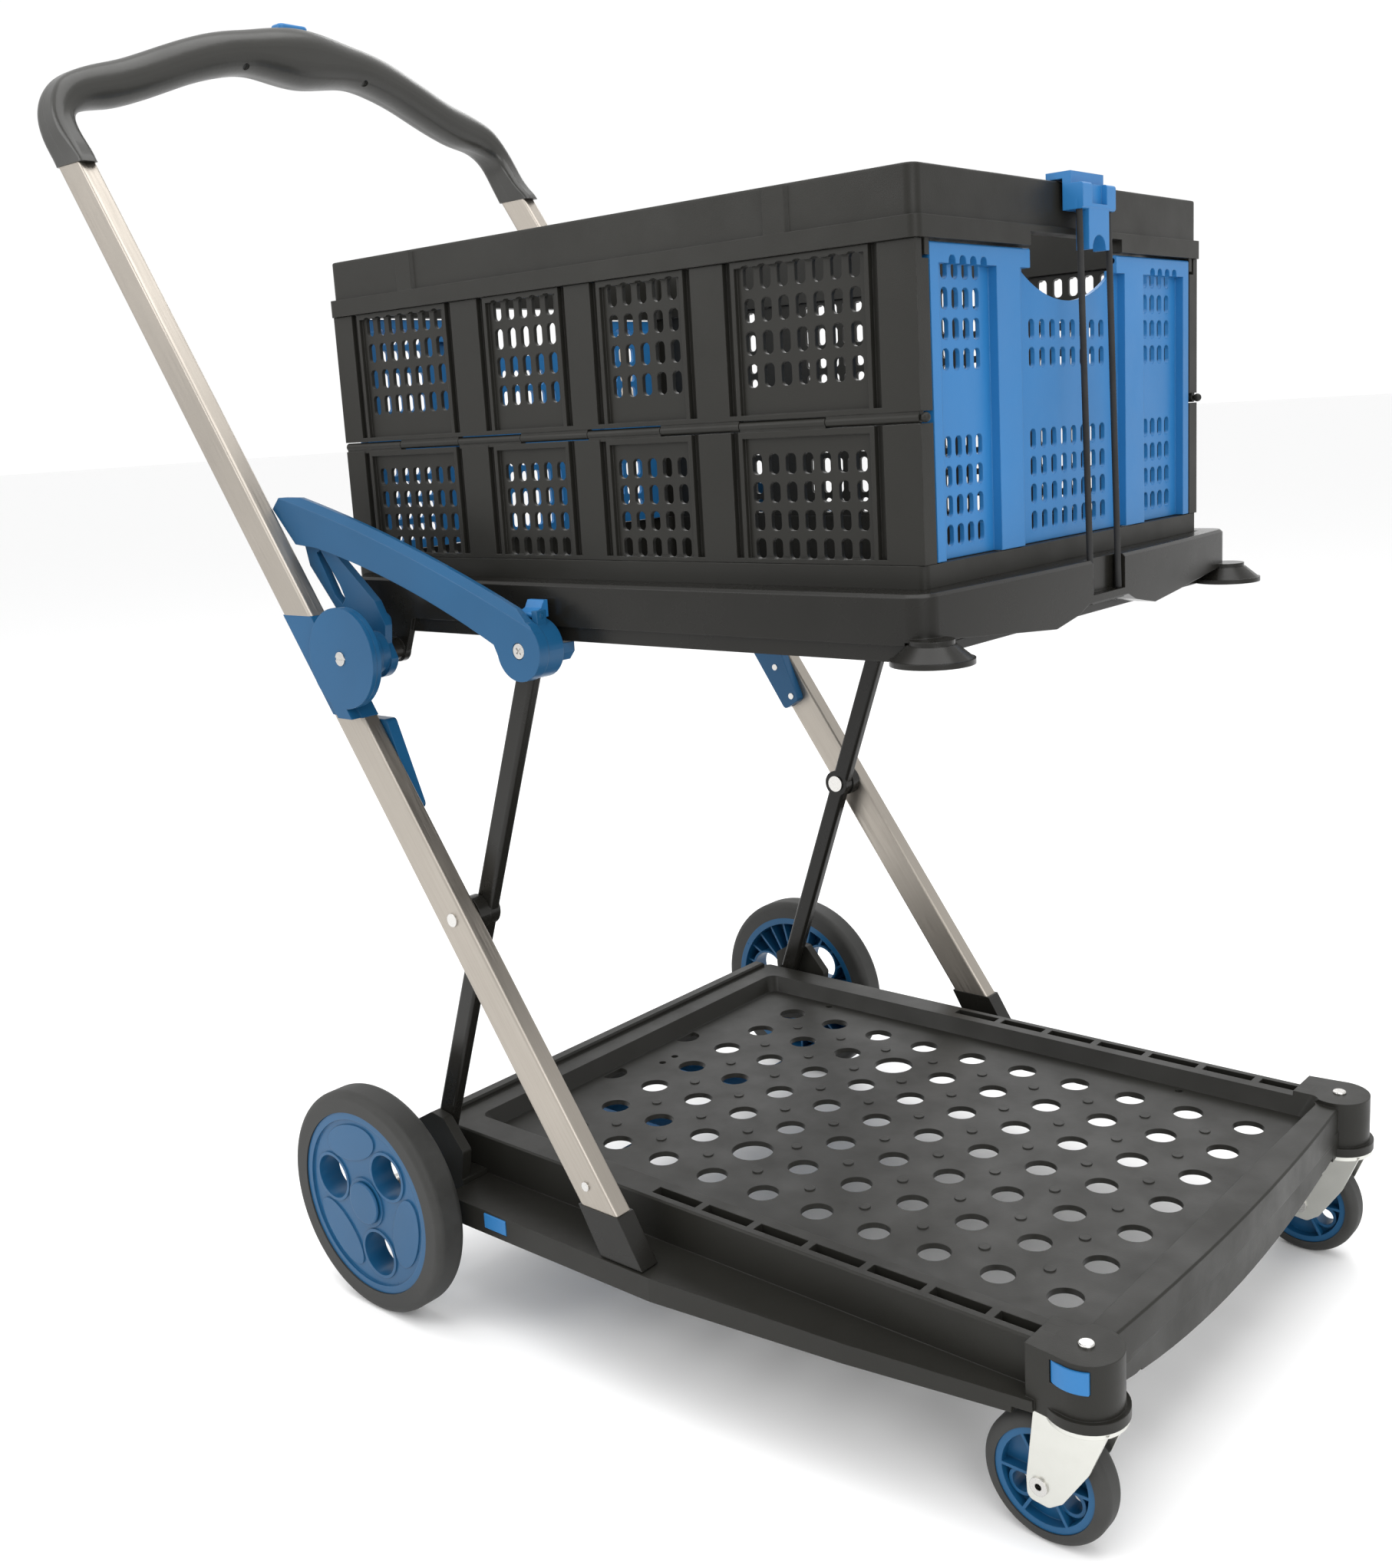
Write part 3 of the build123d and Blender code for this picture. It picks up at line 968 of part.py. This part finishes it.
with BuildPart() as panel_lower:
    add(side_panel(CRATE_BASE_TOP_Z + 0.2, CRATE_MID_Z - 3.5, 586, 17.2, 12.5).part)
    add(knuckles(CRATE_REAR_X + 0.8, CRATE_MID_Z - 5).part)
save_pair(panel_lower, "crate_side_lower")

with BuildPart() as panel_upper:
    add(side_panel(CRATE_MID_Z + 3.5, FLANGE_Z - 0.2, 691, 19.3, 14.0).part)
    add(knuckles(CRATE_REAR_X + 66.3, CRATE_MID_Z + 5).part)
save_pair(panel_upper, "crate_side_upper")

# blue end panels: three sunk slotted bays, a hand hole open to the top, hung from pins under the rim
END_HALF_Y = 171.0
END_BOTTOM_Z = CRATE_BASE_TOP_Z + 0.6
END_TOP_Z = 757.6
END_FACE = 3.4
END_BAY_FACE = -2.6
END_BACK = -5.6
END_ROW_PITCH = 17.2
BAY_TOP_Z = 748.0
END_BAYS = ((-162.0, -98.0), (-70.0, 70.0), (98.0, 162.0))
END_SLOTS = ((-130.0, 4, 11.6, 4), (0.0, 8, 13.4, 2), (130.0, 4, 11.6, 4))


def end_panel(pin_x, outward):
    """End panel hung at this line, its outer face towards +X or -X."""
    def depth_range(low, high):
        return sorted((pin_x + outward * low, pin_x + outward * high))

    with BuildPart() as panel:
        block(*depth_range(END_BACK, END_FACE), -END_HALF_Y, END_HALF_Y, END_BOTTOM_Z, BAY_TOP_Z)
        block(*depth_range(-END_FACE, END_FACE), -END_HALF_Y, END_HALF_Y, BAY_TOP_Z - 1, END_TOP_Z)
        fillet(panel.edges().filter_by(Axis.Y).group_by(Axis.Z)[-1], 1.5)
        for y0, y1 in END_BAYS:
            block(*depth_range(END_BAY_FACE, END_FACE + 1), y0, y1, END_BOTTOM_Z - 1, BAY_TOP_Z - 2,
                  mode=Mode.SUBTRACT)
        # ribs are hollow behind
        for y0, y1 in ((-95.0, -73.0), (73.0, 95.0)):
            block(*depth_range(END_BACK - 1, END_FACE - 3), y0, y1, END_BOTTOM_Z - 1, BAY_TOP_Z - 8,
                  mode=Mode.SUBTRACT)
        with BuildSketch(Plane.YZ.offset(pin_x - 10)):
            for middle, columns, pitch, upper_rows in END_SLOTS:
                for first, rows in ((591.0, 4), (692.8, upper_rows)):
                    with Locations((middle, first + END_ROW_PITCH * (rows - 1) / 2)):
                        with GridLocations(pitch, END_ROW_PITCH, columns, rows):
                            RectangleRounded(7.4, 12.6, 3.2)
        extrude(amount=20, mode=Mode.SUBTRACT)
        with BuildSketch(Plane.YZ.offset(pin_x - 10)):
            with BuildLine():
                Polyline((-HAND_HALF_Y, 744), (-HAND_HALF_Y, 770), (HAND_HALF_Y, 770), (HAND_HALF_Y, 744))
                ThreePointArc((HAND_HALF_Y, 744), (0, 728), (-HAND_HALF_Y, 744))
            make_face()
        extrude(amount=20, mode=Mode.SUBTRACT)
        with Locations(Location((pin_x, 0, PIN_LINE_Z), (90, 0, 0))):
            Cylinder(2.0 + RUNNING, 400, mode=Mode.SUBTRACT)
    return panel


for name, pin_x, outward in (("end_panel_rear", CRATE_REAR_X + 3.5, -1),
                             ("end_panel_front", CRATE_FRONT_X - 3.5, 1)):
    save(end_panel(pin_x, outward), name)

with BuildPart() as crate_pins:
    for s in (-1, 1):
        with Locations(Location((CRATE_MID_X, s * HINGE_LINE_Y, CRATE_MID_Z), (0, 90, 0))):
            Cylinder(PANEL_PIN_R, CRATE_LENGTH)
        with Locations((CRATE_FRONT_X + 1.6, s * HINGE_LINE_Y, CRATE_MID_Z)):
            Sphere(2.9)
    for pin_x in (CRATE_REAR_X + 3.5, CRATE_FRONT_X - 3.5):
        for s in (-1, 1):
            with Locations(Location((pin_x, s * 169, PIN_LINE_Z), (90, 0, 0))):
                Cylinder(2.0, 14)
save(crate_pins, "crate_hinge_pins")

# ---------------------------------------------------------------- latch
STRAND_TOP = (355.2, 788.0)
STRAND_BOTTOM = (360.6, 541.0)
STRAND_R = 2.2
with BuildPart() as latch_hook:
    # hook over the rim
    block(345.4, 351, -22, 22, 781, 804.5)
    block(334, 351, -22, 22, 800.2, 804.5)
    block(350, 359.5, -22, 22, 781, 797)
    fillet(latch_hook.edges().filter_by(Axis.Y).group_by(Axis.X)[-1], 2)
    # finger recess in its front
    block(355.5, 362, -10, 10, 784.5, 800, mode=Mode.SUBTRACT)
    # tongue between the strands, arched at its lower edge
    block(350, 359, -13.5, 13.5, 757, 782)
    with Locations(Location((352, 0, 757), (0, 90, 0))):
        Cylinder(9, 20, mode=Mode.SUBTRACT)
    for s in (-1, 1):
        with Locations((STRAND_TOP[0] + 0.1, s * STRAND_Y, 781)):
            Cylinder(STRAND_R, 6, align=(Align.CENTER, Align.CENTER, Align.MIN), mode=Mode.SUBTRACT)
save(latch_hook, "latch_hook")

STRAND_LENGTH = math.hypot(STRAND_BOTTOM[0] - STRAND_TOP[0], STRAND_TOP[1] - STRAND_BOTTOM[1])
with BuildPart() as elastic_strand:
    with BuildSketch(Plane(origin=(STRAND_BOTTOM[0], -STRAND_Y, STRAND_BOTTOM[1] + 0.3), x_dir=(0, 1, 0),
                           z_dir=(STRAND_TOP[0] - STRAND_BOTTOM[0], 0, STRAND_TOP[1] - STRAND_BOTTOM[1]))):
        Circle(STRAND_R - 0.1)
    extrude(amount=STRAND_LENGTH - 7)
save_group(elastic_strand, "elastic_strands")
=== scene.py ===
import json
import math

import bmesh
import bpy
from mathutils import Matrix, Vector


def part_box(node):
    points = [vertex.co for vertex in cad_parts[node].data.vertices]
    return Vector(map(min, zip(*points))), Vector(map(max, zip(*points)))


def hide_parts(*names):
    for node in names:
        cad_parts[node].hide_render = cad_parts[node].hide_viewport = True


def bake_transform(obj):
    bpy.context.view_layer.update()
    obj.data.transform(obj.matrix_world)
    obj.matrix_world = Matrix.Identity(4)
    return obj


# Rolling basket trolley: materials, light and the pieces that CAD keeps plain.
# Metres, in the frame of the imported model: +Z up, +X to the casters, the right side at -Y.

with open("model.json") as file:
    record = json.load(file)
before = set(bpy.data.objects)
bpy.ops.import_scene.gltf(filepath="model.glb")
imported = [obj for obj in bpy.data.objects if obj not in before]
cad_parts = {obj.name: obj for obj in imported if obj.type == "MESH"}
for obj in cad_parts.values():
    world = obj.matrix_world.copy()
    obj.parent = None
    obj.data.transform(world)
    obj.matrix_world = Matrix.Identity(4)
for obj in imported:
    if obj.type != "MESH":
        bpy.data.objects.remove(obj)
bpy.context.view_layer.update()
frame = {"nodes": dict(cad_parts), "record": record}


# ---------------------------------------------------------------- camera
CAMERA_PLACE = Vector((0.8408, -0.9603, 0.6690))
CAMERA_AZIMUTH = math.radians(41.486)
CAMERA_DOWN = math.radians(10.985)
CAMERA_ROLL = math.radians(-3.427)
CAMERA_LENS = 36.54
CAMERA_SHIFT = (0.0036, -0.0369)
SENSOR_WIDTH = 36.0
NEAR_CLIP = 0.05


def make_camera():
    """The camera at the photograph's place, direction, roll and lens."""
    ahead = Vector((-math.sin(CAMERA_AZIMUTH) * math.cos(CAMERA_DOWN),
                    math.cos(CAMERA_AZIMUTH) * math.cos(CAMERA_DOWN),
                    -math.sin(CAMERA_DOWN)))
    level = Vector((math.cos(CAMERA_AZIMUTH), math.sin(CAMERA_AZIMUTH), 0))
    upright = level.cross(ahead)
    right = math.cos(CAMERA_ROLL) * level + math.sin(CAMERA_ROLL) * upright
    up = -math.sin(CAMERA_ROLL) * level + math.cos(CAMERA_ROLL) * upright
    data = bpy.data.cameras.new("camera")
    data.sensor_width = SENSOR_WIDTH
    data.lens = CAMERA_LENS
    data.shift_x, data.shift_y = CAMERA_SHIFT
    data.clip_start = NEAR_CLIP
    camera = bpy.data.objects.new("camera", data)
    turn = Matrix((right, up, -ahead)).transposed()
    camera.matrix_world = Matrix.Translation(CAMERA_PLACE) @ turn.to_4x4()
    bpy.context.collection.objects.link(camera)
    bpy.context.scene.camera = camera


# ---------------------------------------------------------------- light and floor
SKY_STRENGTH = 1.02
# name, place, the point it faces, width and height, watts
LAMPS = (
    ("overhead", (0.3, -0.2, 2.9), (0, 0, 0.4), (2.6, 2.6), 56),
    ("front_fill", (2.6, -1.6, 1.5), (0.1, 0, 0.5), (1.6, 1.8), 30),
    ("left_rim", (-1.6, -2.4, 1.9), (-0.1, 0, 0.5), (1.4, 1.8), 26),
    ("back_rim", (-1.2, 2.4, 2.2), (0, 0, 0.6), (1.8, 1.4), 20),
)
FLOOR_REACH = 60.0
FLOOR_WHITE = (0.93, 0.93, 0.93)
FLOOR_ROUGHNESS = 0.75


def area_light(name, place, aim, size, power):
    """A soft rectangular lamp that faces one point."""
    data = bpy.data.lights.new(name, "AREA")
    data.shape = "RECTANGLE"
    data.size, data.size_y = size
    data.energy = power
    lamp = bpy.data.objects.new(name, data)
    lamp.location = place
    lamp.rotation_euler = (Vector(aim) - Vector(place)).to_track_quat("-Z", "Y").to_euler()
    bpy.context.collection.objects.link(lamp)


def make_studio():
    """An even white sky with four large lamps, and plain display of colours."""
    world = bpy.data.worlds.new("studio")
    world.use_nodes = True
    background = world.node_tree.nodes["Background"]
    background.inputs["Color"].default_value = (1.0, 1.0, 1.0, 1)
    background.inputs["Strength"].default_value = SKY_STRENGTH
    bpy.context.scene.world = world
    for lamp in LAMPS:
        area_light(*lamp)
    scene = bpy.context.scene
    scene.view_settings.view_transform = "Standard"
    scene.view_settings.look = "None"


def make_floor():
    """A pale floor that reaches past the horizon of every view."""
    mesh = bpy.data.meshes.new("floor")
    corners = [(x * FLOOR_REACH, y * FLOOR_REACH, 0) for x, y in ((-1, -1), (1, -1), (1, 1), (-1, 1))]
    mesh.from_pydata(corners, [], [(0, 1, 2, 3)])
    floor = bpy.data.objects.new("floor", mesh)
    bpy.context.collection.objects.link(floor)
    skin, shader, *_ = new_material("floor_paint")
    shader.inputs["Base Color"].default_value = (*FLOOR_WHITE, 1)
    shader.inputs["Roughness"].default_value = FLOOR_ROUGHNESS
    mesh.materials.append(skin)


# ---------------------------------------------------------------- material helpers
# Noise scales are in waves for each metre; bump heights and edge radii are in metres.
BEVEL_SAMPLES = 4
WEAR_SCALE = 85
WEAR_RIDGE = (0.86, 0.985)      # rounded against true normal: worn to clean
WEAR_PATCH = (0.40, 0.62)
DRIFT_SCALE = 7.0
SMUDGE_SCALE = 26.0
CLOUD_SCALE = 9.0
DUST_SCALE = 14.0
PIT_SCALE = 1100.0
PLASTIC_BUMP = 0.0002
METAL_BUMP = 0.0001
RUBBER_BUMP = 0.0003


def new_material(name):
    """A new principled material: (material, shader, nodes, links)."""
    skin = bpy.data.materials.new(name)
    skin.use_nodes = True
    nodes, links = skin.node_tree.nodes, skin.node_tree.links
    return skin, nodes["Principled BSDF"], nodes, links


def place_coords(nodes, links, scale=(1, 1, 1), turn=(0, 0, 0)):
    """Coordinates fixed to the piece, in metres, turned and then stretched."""
    coords = nodes.new("ShaderNodeTexCoord")
    mapping = nodes.new("ShaderNodeMapping")
    mapping.vector_type = "TEXTURE" if turn != (0, 0, 0) else "POINT"
    mapping.inputs["Rotation"].default_value = turn
    links.new(coords.outputs["Object"], mapping.inputs["Vector"])
    if mapping.vector_type == "POINT":
        mapping.inputs["Scale"].default_value = scale
        return mapping.outputs["Vector"]
    stretch = nodes.new("ShaderNodeMapping")
    stretch.inputs["Scale"].default_value = scale
    links.new(mapping.outputs["Vector"], stretch.inputs["Vector"])
    return stretch.outputs["Vector"]


def noise(nodes, links, vector, scale, detail=2.0, rough=0.5):
    field = nodes.new("ShaderNodeTexNoise")
    field.inputs["Scale"].default_value = scale
    field.inputs["Detail"].default_value = detail
    field.inputs["Roughness"].default_value = rough
    links.new(vector, field.inputs["Vector"])
    return field.outputs["Fac"]


def spread(nodes, links, value, low, high, start=0.3, stop=0.7):
    """Map a noise value from start..stop to low..high."""
    remap = nodes.new("ShaderNodeMapRange")
    remap.inputs["From Min"].default_value = start
    remap.inputs["From Max"].default_value = stop
    remap.inputs["To Min"].default_value = low
    remap.inputs["To Max"].default_value = high
    links.new(value, remap.inputs["Value"])
    return remap.outputs["Result"]


def blend_colours(nodes, links, factor, first, second):
    """Mix two colours by a factor; either colour may be a socket."""
    mix = nodes.new("ShaderNodeMix")
    mix.data_type = "RGBA"
    links.new(factor, mix.inputs["Factor"])
    for socket, colour in ((mix.inputs["A"], first), (mix.inputs["B"], second)):
        if isinstance(colour, tuple):
            socket.default_value = (*colour, 1)
        else:
            links.new(colour, socket)
    return mix.outputs["Result"]


def shade(colour, gain):
    """The colour made lighter or darker, no channel above 1."""
    return tuple(min(1.0, c * gain) for c in colour)


def rounded_edges(nodes, radius):
    """Normals bent round every sharp edge, as a small moulded or broken edge has."""
    bevel = nodes.new("ShaderNodeBevel")
    bevel.samples = BEVEL_SAMPLES
    bevel.inputs["Radius"].default_value = radius
    return bevel.outputs["Normal"]


def surface_normal(nodes, links, shader, height, strength, distance, rounded=None):
    """Bump, on top of softly rounded edges where they are given."""
    bump = nodes.new("ShaderNodeBump")
    bump.inputs["Strength"].default_value = strength
    bump.inputs["Distance"].default_value = distance
    links.new(height, bump.inputs["Height"])
    if rounded:
        links.new(rounded, bump.inputs["Normal"])
    links.new(bump.outputs["Normal"], shader.inputs["Normal"])


def edge_wear(nodes, links, vector, rounded, amount):
    """A patchy mask along the edges, where hands and boxes rub."""
    geometry = nodes.new("ShaderNodeNewGeometry")
    facing = nodes.new("ShaderNodeVectorMath")
    facing.operation = "DOT_PRODUCT"
    links.new(rounded, facing.inputs[0])
    links.new(geometry.outputs["True Normal"], facing.inputs[1])
    ridge = spread(nodes, links, facing.outputs["Value"], amount, 0.0, *WEAR_RIDGE)
    patch = spread(nodes, links, noise(nodes, links, vector, WEAR_SCALE, 4), 0.15, 1.0, *WEAR_PATCH)
    both = nodes.new("ShaderNodeMath")
    both.operation = "MULTIPLY"
    links.new(ridge, both.inputs[0])
    links.new(patch, both.inputs[1])
    return both.outputs["Value"]


def plastic(name, colour, roughness, grain=0.25, grain_size=1500.0, drift=0.12, wear=0.5, gloss=0.5,
            coat=0.0, edge=0.0009):
    """Moulded plastic: fine grain, slow colour drift, handling marks and rubbed edges."""
    skin, shader, nodes, links = new_material(name)
    vector = place_coords(nodes, links)
    rounded = rounded_edges(nodes, edge)
    slow = noise(nodes, links, vector, DRIFT_SCALE, 3.0)
    cloudy = blend_colours(nodes, links, spread(nodes, links, slow, 0.0, 1.0),
                           shade(colour, 1 - drift), shade(colour, 1 + drift))
    rubbed = blend_colours(nodes, links, edge_wear(nodes, links, vector, rounded, wear), cloudy,
                           shade(tuple(c + 0.02 for c in colour), 1.5))
    links.new(rubbed, shader.inputs["Base Color"])
    smudge = noise(nodes, links, vector, SMUDGE_SCALE, 5.0, 0.6)
    links.new(spread(nodes, links, smudge, roughness * 0.85, min(1.0, roughness * 1.18)),
              shader.inputs["Roughness"])
    fine = noise(nodes, links, vector, grain_size, 2.0)
    surface_normal(nodes, links, shader, fine, grain, PLASTIC_BUMP, rounded)
    shader.inputs["Specular IOR Level"].default_value = gloss
    shader.inputs["Coat Weight"].default_value = coat
    shader.inputs["Coat Roughness"].default_value = 0.12
    return skin


def metal(name, colour, roughness, stretch=(1, 1, 1), turn=(0, 0, 0), streak=900.0, grain=0.08,
          edge=0.0005):
    """Metal with fine drawn streaks and slightly uneven polish."""
    skin, shader, nodes, links = new_material(name)
    vector = place_coords(nodes, links, stretch, turn)
    plain = place_coords(nodes, links)
    lines = noise(nodes, links, vector, streak, 3.0, 0.6)
    cloud = noise(nodes, links, plain, CLOUD_SCALE, 4.0)
    tint = blend_colours(nodes, links, spread(nodes, links, cloud, 0.0, 1.0), shade(colour, 0.95),
                         shade(colour, 1.04))
    links.new(tint, shader.inputs["Base Color"])
    links.new(spread(nodes, links, lines, roughness * 0.8, roughness * 1.25), shader.inputs["Roughness"])
    surface_normal(nodes, links, shader, lines, grain, METAL_BUMP, rounded_edges(nodes, edge))
    shader.inputs["Metallic"].default_value = 1.0
    return skin


def tyre_rubber(name, colour):
    """Matt rubber with dust in patches and fine pits."""
    skin, shader, nodes, links = new_material(name)
    vector = place_coords(nodes, links)
    dust = noise(nodes, links, vector, DUST_SCALE, 6.0, 0.65)
    dusty = shade(tuple(c + 0.012 for c in colour), 1.35)
    tint = blend_colours(nodes, links, spread(nodes, links, dust, 0.0, 1.0, 0.4, 0.75), colour, dusty)
    links.new(tint, shader.inputs["Base Color"])
    links.new(spread(nodes, links, dust, 0.52, 0.78), shader.inputs["Roughness"])
    pits = noise(nodes, links, vector, PIT_SCALE, 3.0)
    surface_normal(nodes, links, shader, pits, 0.3, RUBBER_BUMP)
    shader.inputs["Specular IOR Level"].default_value = 0.4
    return skin


# ---------------------------------------------------------------- colours
TRAY_BLACK = (0.0145, 0.0140, 0.0118)
GLOSS_BLACK = (0.0100, 0.0095, 0.0080)
CHARCOAL = (0.024, 0.0235, 0.0205)
DEEP_BLUE = (0.008, 0.070, 0.162)
BRIGHT_BLUE = (0.017, 0.136, 0.338)
WARM_SILVER = (0.370, 0.338, 0.298)
STEEL = (0.56, 0.55, 0.53)
ZINC = (0.61, 0.61, 0.57)
TYRE_GREY = (0.017, 0.017, 0.0155)
CORD_BLACK = (0.012, 0.012, 0.012)
TUBE_LEAN = 0.689               # rearward run of the tubes for each metre of rise
DRAWN_STRETCH = (1, 1, 0.02)    # drawing marks run along the tube


def make_materials():
    """One finished material for each material slot of the record."""
    return {
        "tray_black": plastic("tray_black_plastic", TRAY_BLACK, 0.42, grain=0.26, grain_size=1300,
                              gloss=0.21),
        "gloss_black": plastic("gloss_black_plastic", GLOSS_BLACK, 0.26, grain=0.08, grain_size=900,
                               wear=0.35, gloss=0.24),
        "charcoal_grip": plastic("grip_plastic", CHARCOAL, 0.34, grain=0.10, grain_size=1700, wear=0.3,
                                 gloss=0.38, coat=0.12),
        "blue_plastic": plastic("blue_plastic", DEEP_BLUE, 0.32, grain=0.14, grain_size=1200, wear=0.4,
                                gloss=0.27),
        "bright_blue": plastic("bright_blue_plastic", BRIGHT_BLUE, 0.40, grain=0.2, grain_size=1300,
                               drift=0.08, wear=0.35, gloss=0.34),
        "anodised_metal": metal("anodised_tube", WARM_SILVER, 0.42, DRAWN_STRETCH,
                                (0, -math.atan(TUBE_LEAN), 0)),
        "steel": metal("bright_steel", STEEL, 0.25, streak=500),
        "zinc": metal("zinc_sheet", ZINC, 0.36, streak=120, grain=0.03),
        "grey_tyre": tyre_rubber("tyre_rubber", TYRE_GREY),
        "elastic": plastic("elastic_cover", CORD_BLACK, 0.85, grain=0.5, grain_size=2600,
                           wear=0.0, edge=0.0001),
    }


def dress_nodes(skins):
    """Give every CAD node the material of its slot."""
    for entry in frame["record"]["subparts"]:
        piece = frame["nodes"][entry["node"]]
        skin = skins[entry["material_slot"]]
        if not piece.material_slots:
            piece.data.materials.append(skin)
        for slot in piece.material_slots:
            slot.material = skin


# ---------------------------------------------------------------- elastic strands
STRAND_RADIUS = 0.0021
STRAND_SIDES = 16
STRAND_RINGS = 240
BRAID_YARNS = 4                 # wound each way round the cord
BRAID_PITCH = 0.0042
BRAID_DEPTH = 0.00022


def braided_strand(side, skin):
    """An elastic cord with a woven cover, from the deck's notch up to the latch."""
    low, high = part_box("elastic_strands")
    bottom = Vector((high[0] - STRAND_RADIUS, side, low[2]))
    top = Vector((low[0] + STRAND_RADIUS, side, high[2]))
    lean = (top - bottom).to_track_quat("Z", "Y")
    length = (top - bottom).length
    shape = bmesh.new()
    rings = []
    for i in range(STRAND_RINGS + 1):
        along = length * i / STRAND_RINGS
        ring = []
        for j in range(STRAND_SIDES):
            angle = 2 * math.pi * j / STRAND_SIDES
            turn = 2 * math.pi * along / BRAID_PITCH
            weave = math.sin(BRAID_YARNS * angle + turn) * math.sin(BRAID_YARNS * angle - turn)
            radius = STRAND_RADIUS - BRAID_DEPTH * (0.5 - 0.5 * weave)
            spot = Vector((radius * math.cos(angle), radius * math.sin(angle), along))
            ring.append(shape.verts.new(bottom + lean @ spot))
        rings.append(ring)
    for lower, upper in zip(rings, rings[1:]):
        for j in range(STRAND_SIDES):
            k = (j + 1) % STRAND_SIDES
            shape.faces.new((lower[j], lower[k], upper[k], upper[j]))
    shape.faces.new(reversed(rings[0]))
    shape.faces.new(rings[-1])
    name = "elastic_braid_left" if side > 0 else "elastic_braid_right"
    mesh = bpy.data.meshes.new(name)
    shape.to_mesh(mesh)
    shape.free()
    for face in mesh.polygons:
        face.use_smooth = True
    mesh.materials.append(skin)
    strand = bpy.data.objects.new(name, mesh)
    bpy.context.collection.objects.link(strand)
    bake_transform(strand)
    return strand


def make_strands(skins):
    """Both cords, in place of the plain ones."""
    low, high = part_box("elastic_strands")
    offset = high[1] - STRAND_RADIUS
    strands = [braided_strand(side, skins["elastic"]) for side in (-offset, offset)]
    for strand in strands:
        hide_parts("elastic_strands")


make_camera()
make_studio()
make_floor()
SKINS = make_materials()
dress_nodes(SKINS)
make_strands(SKINS)
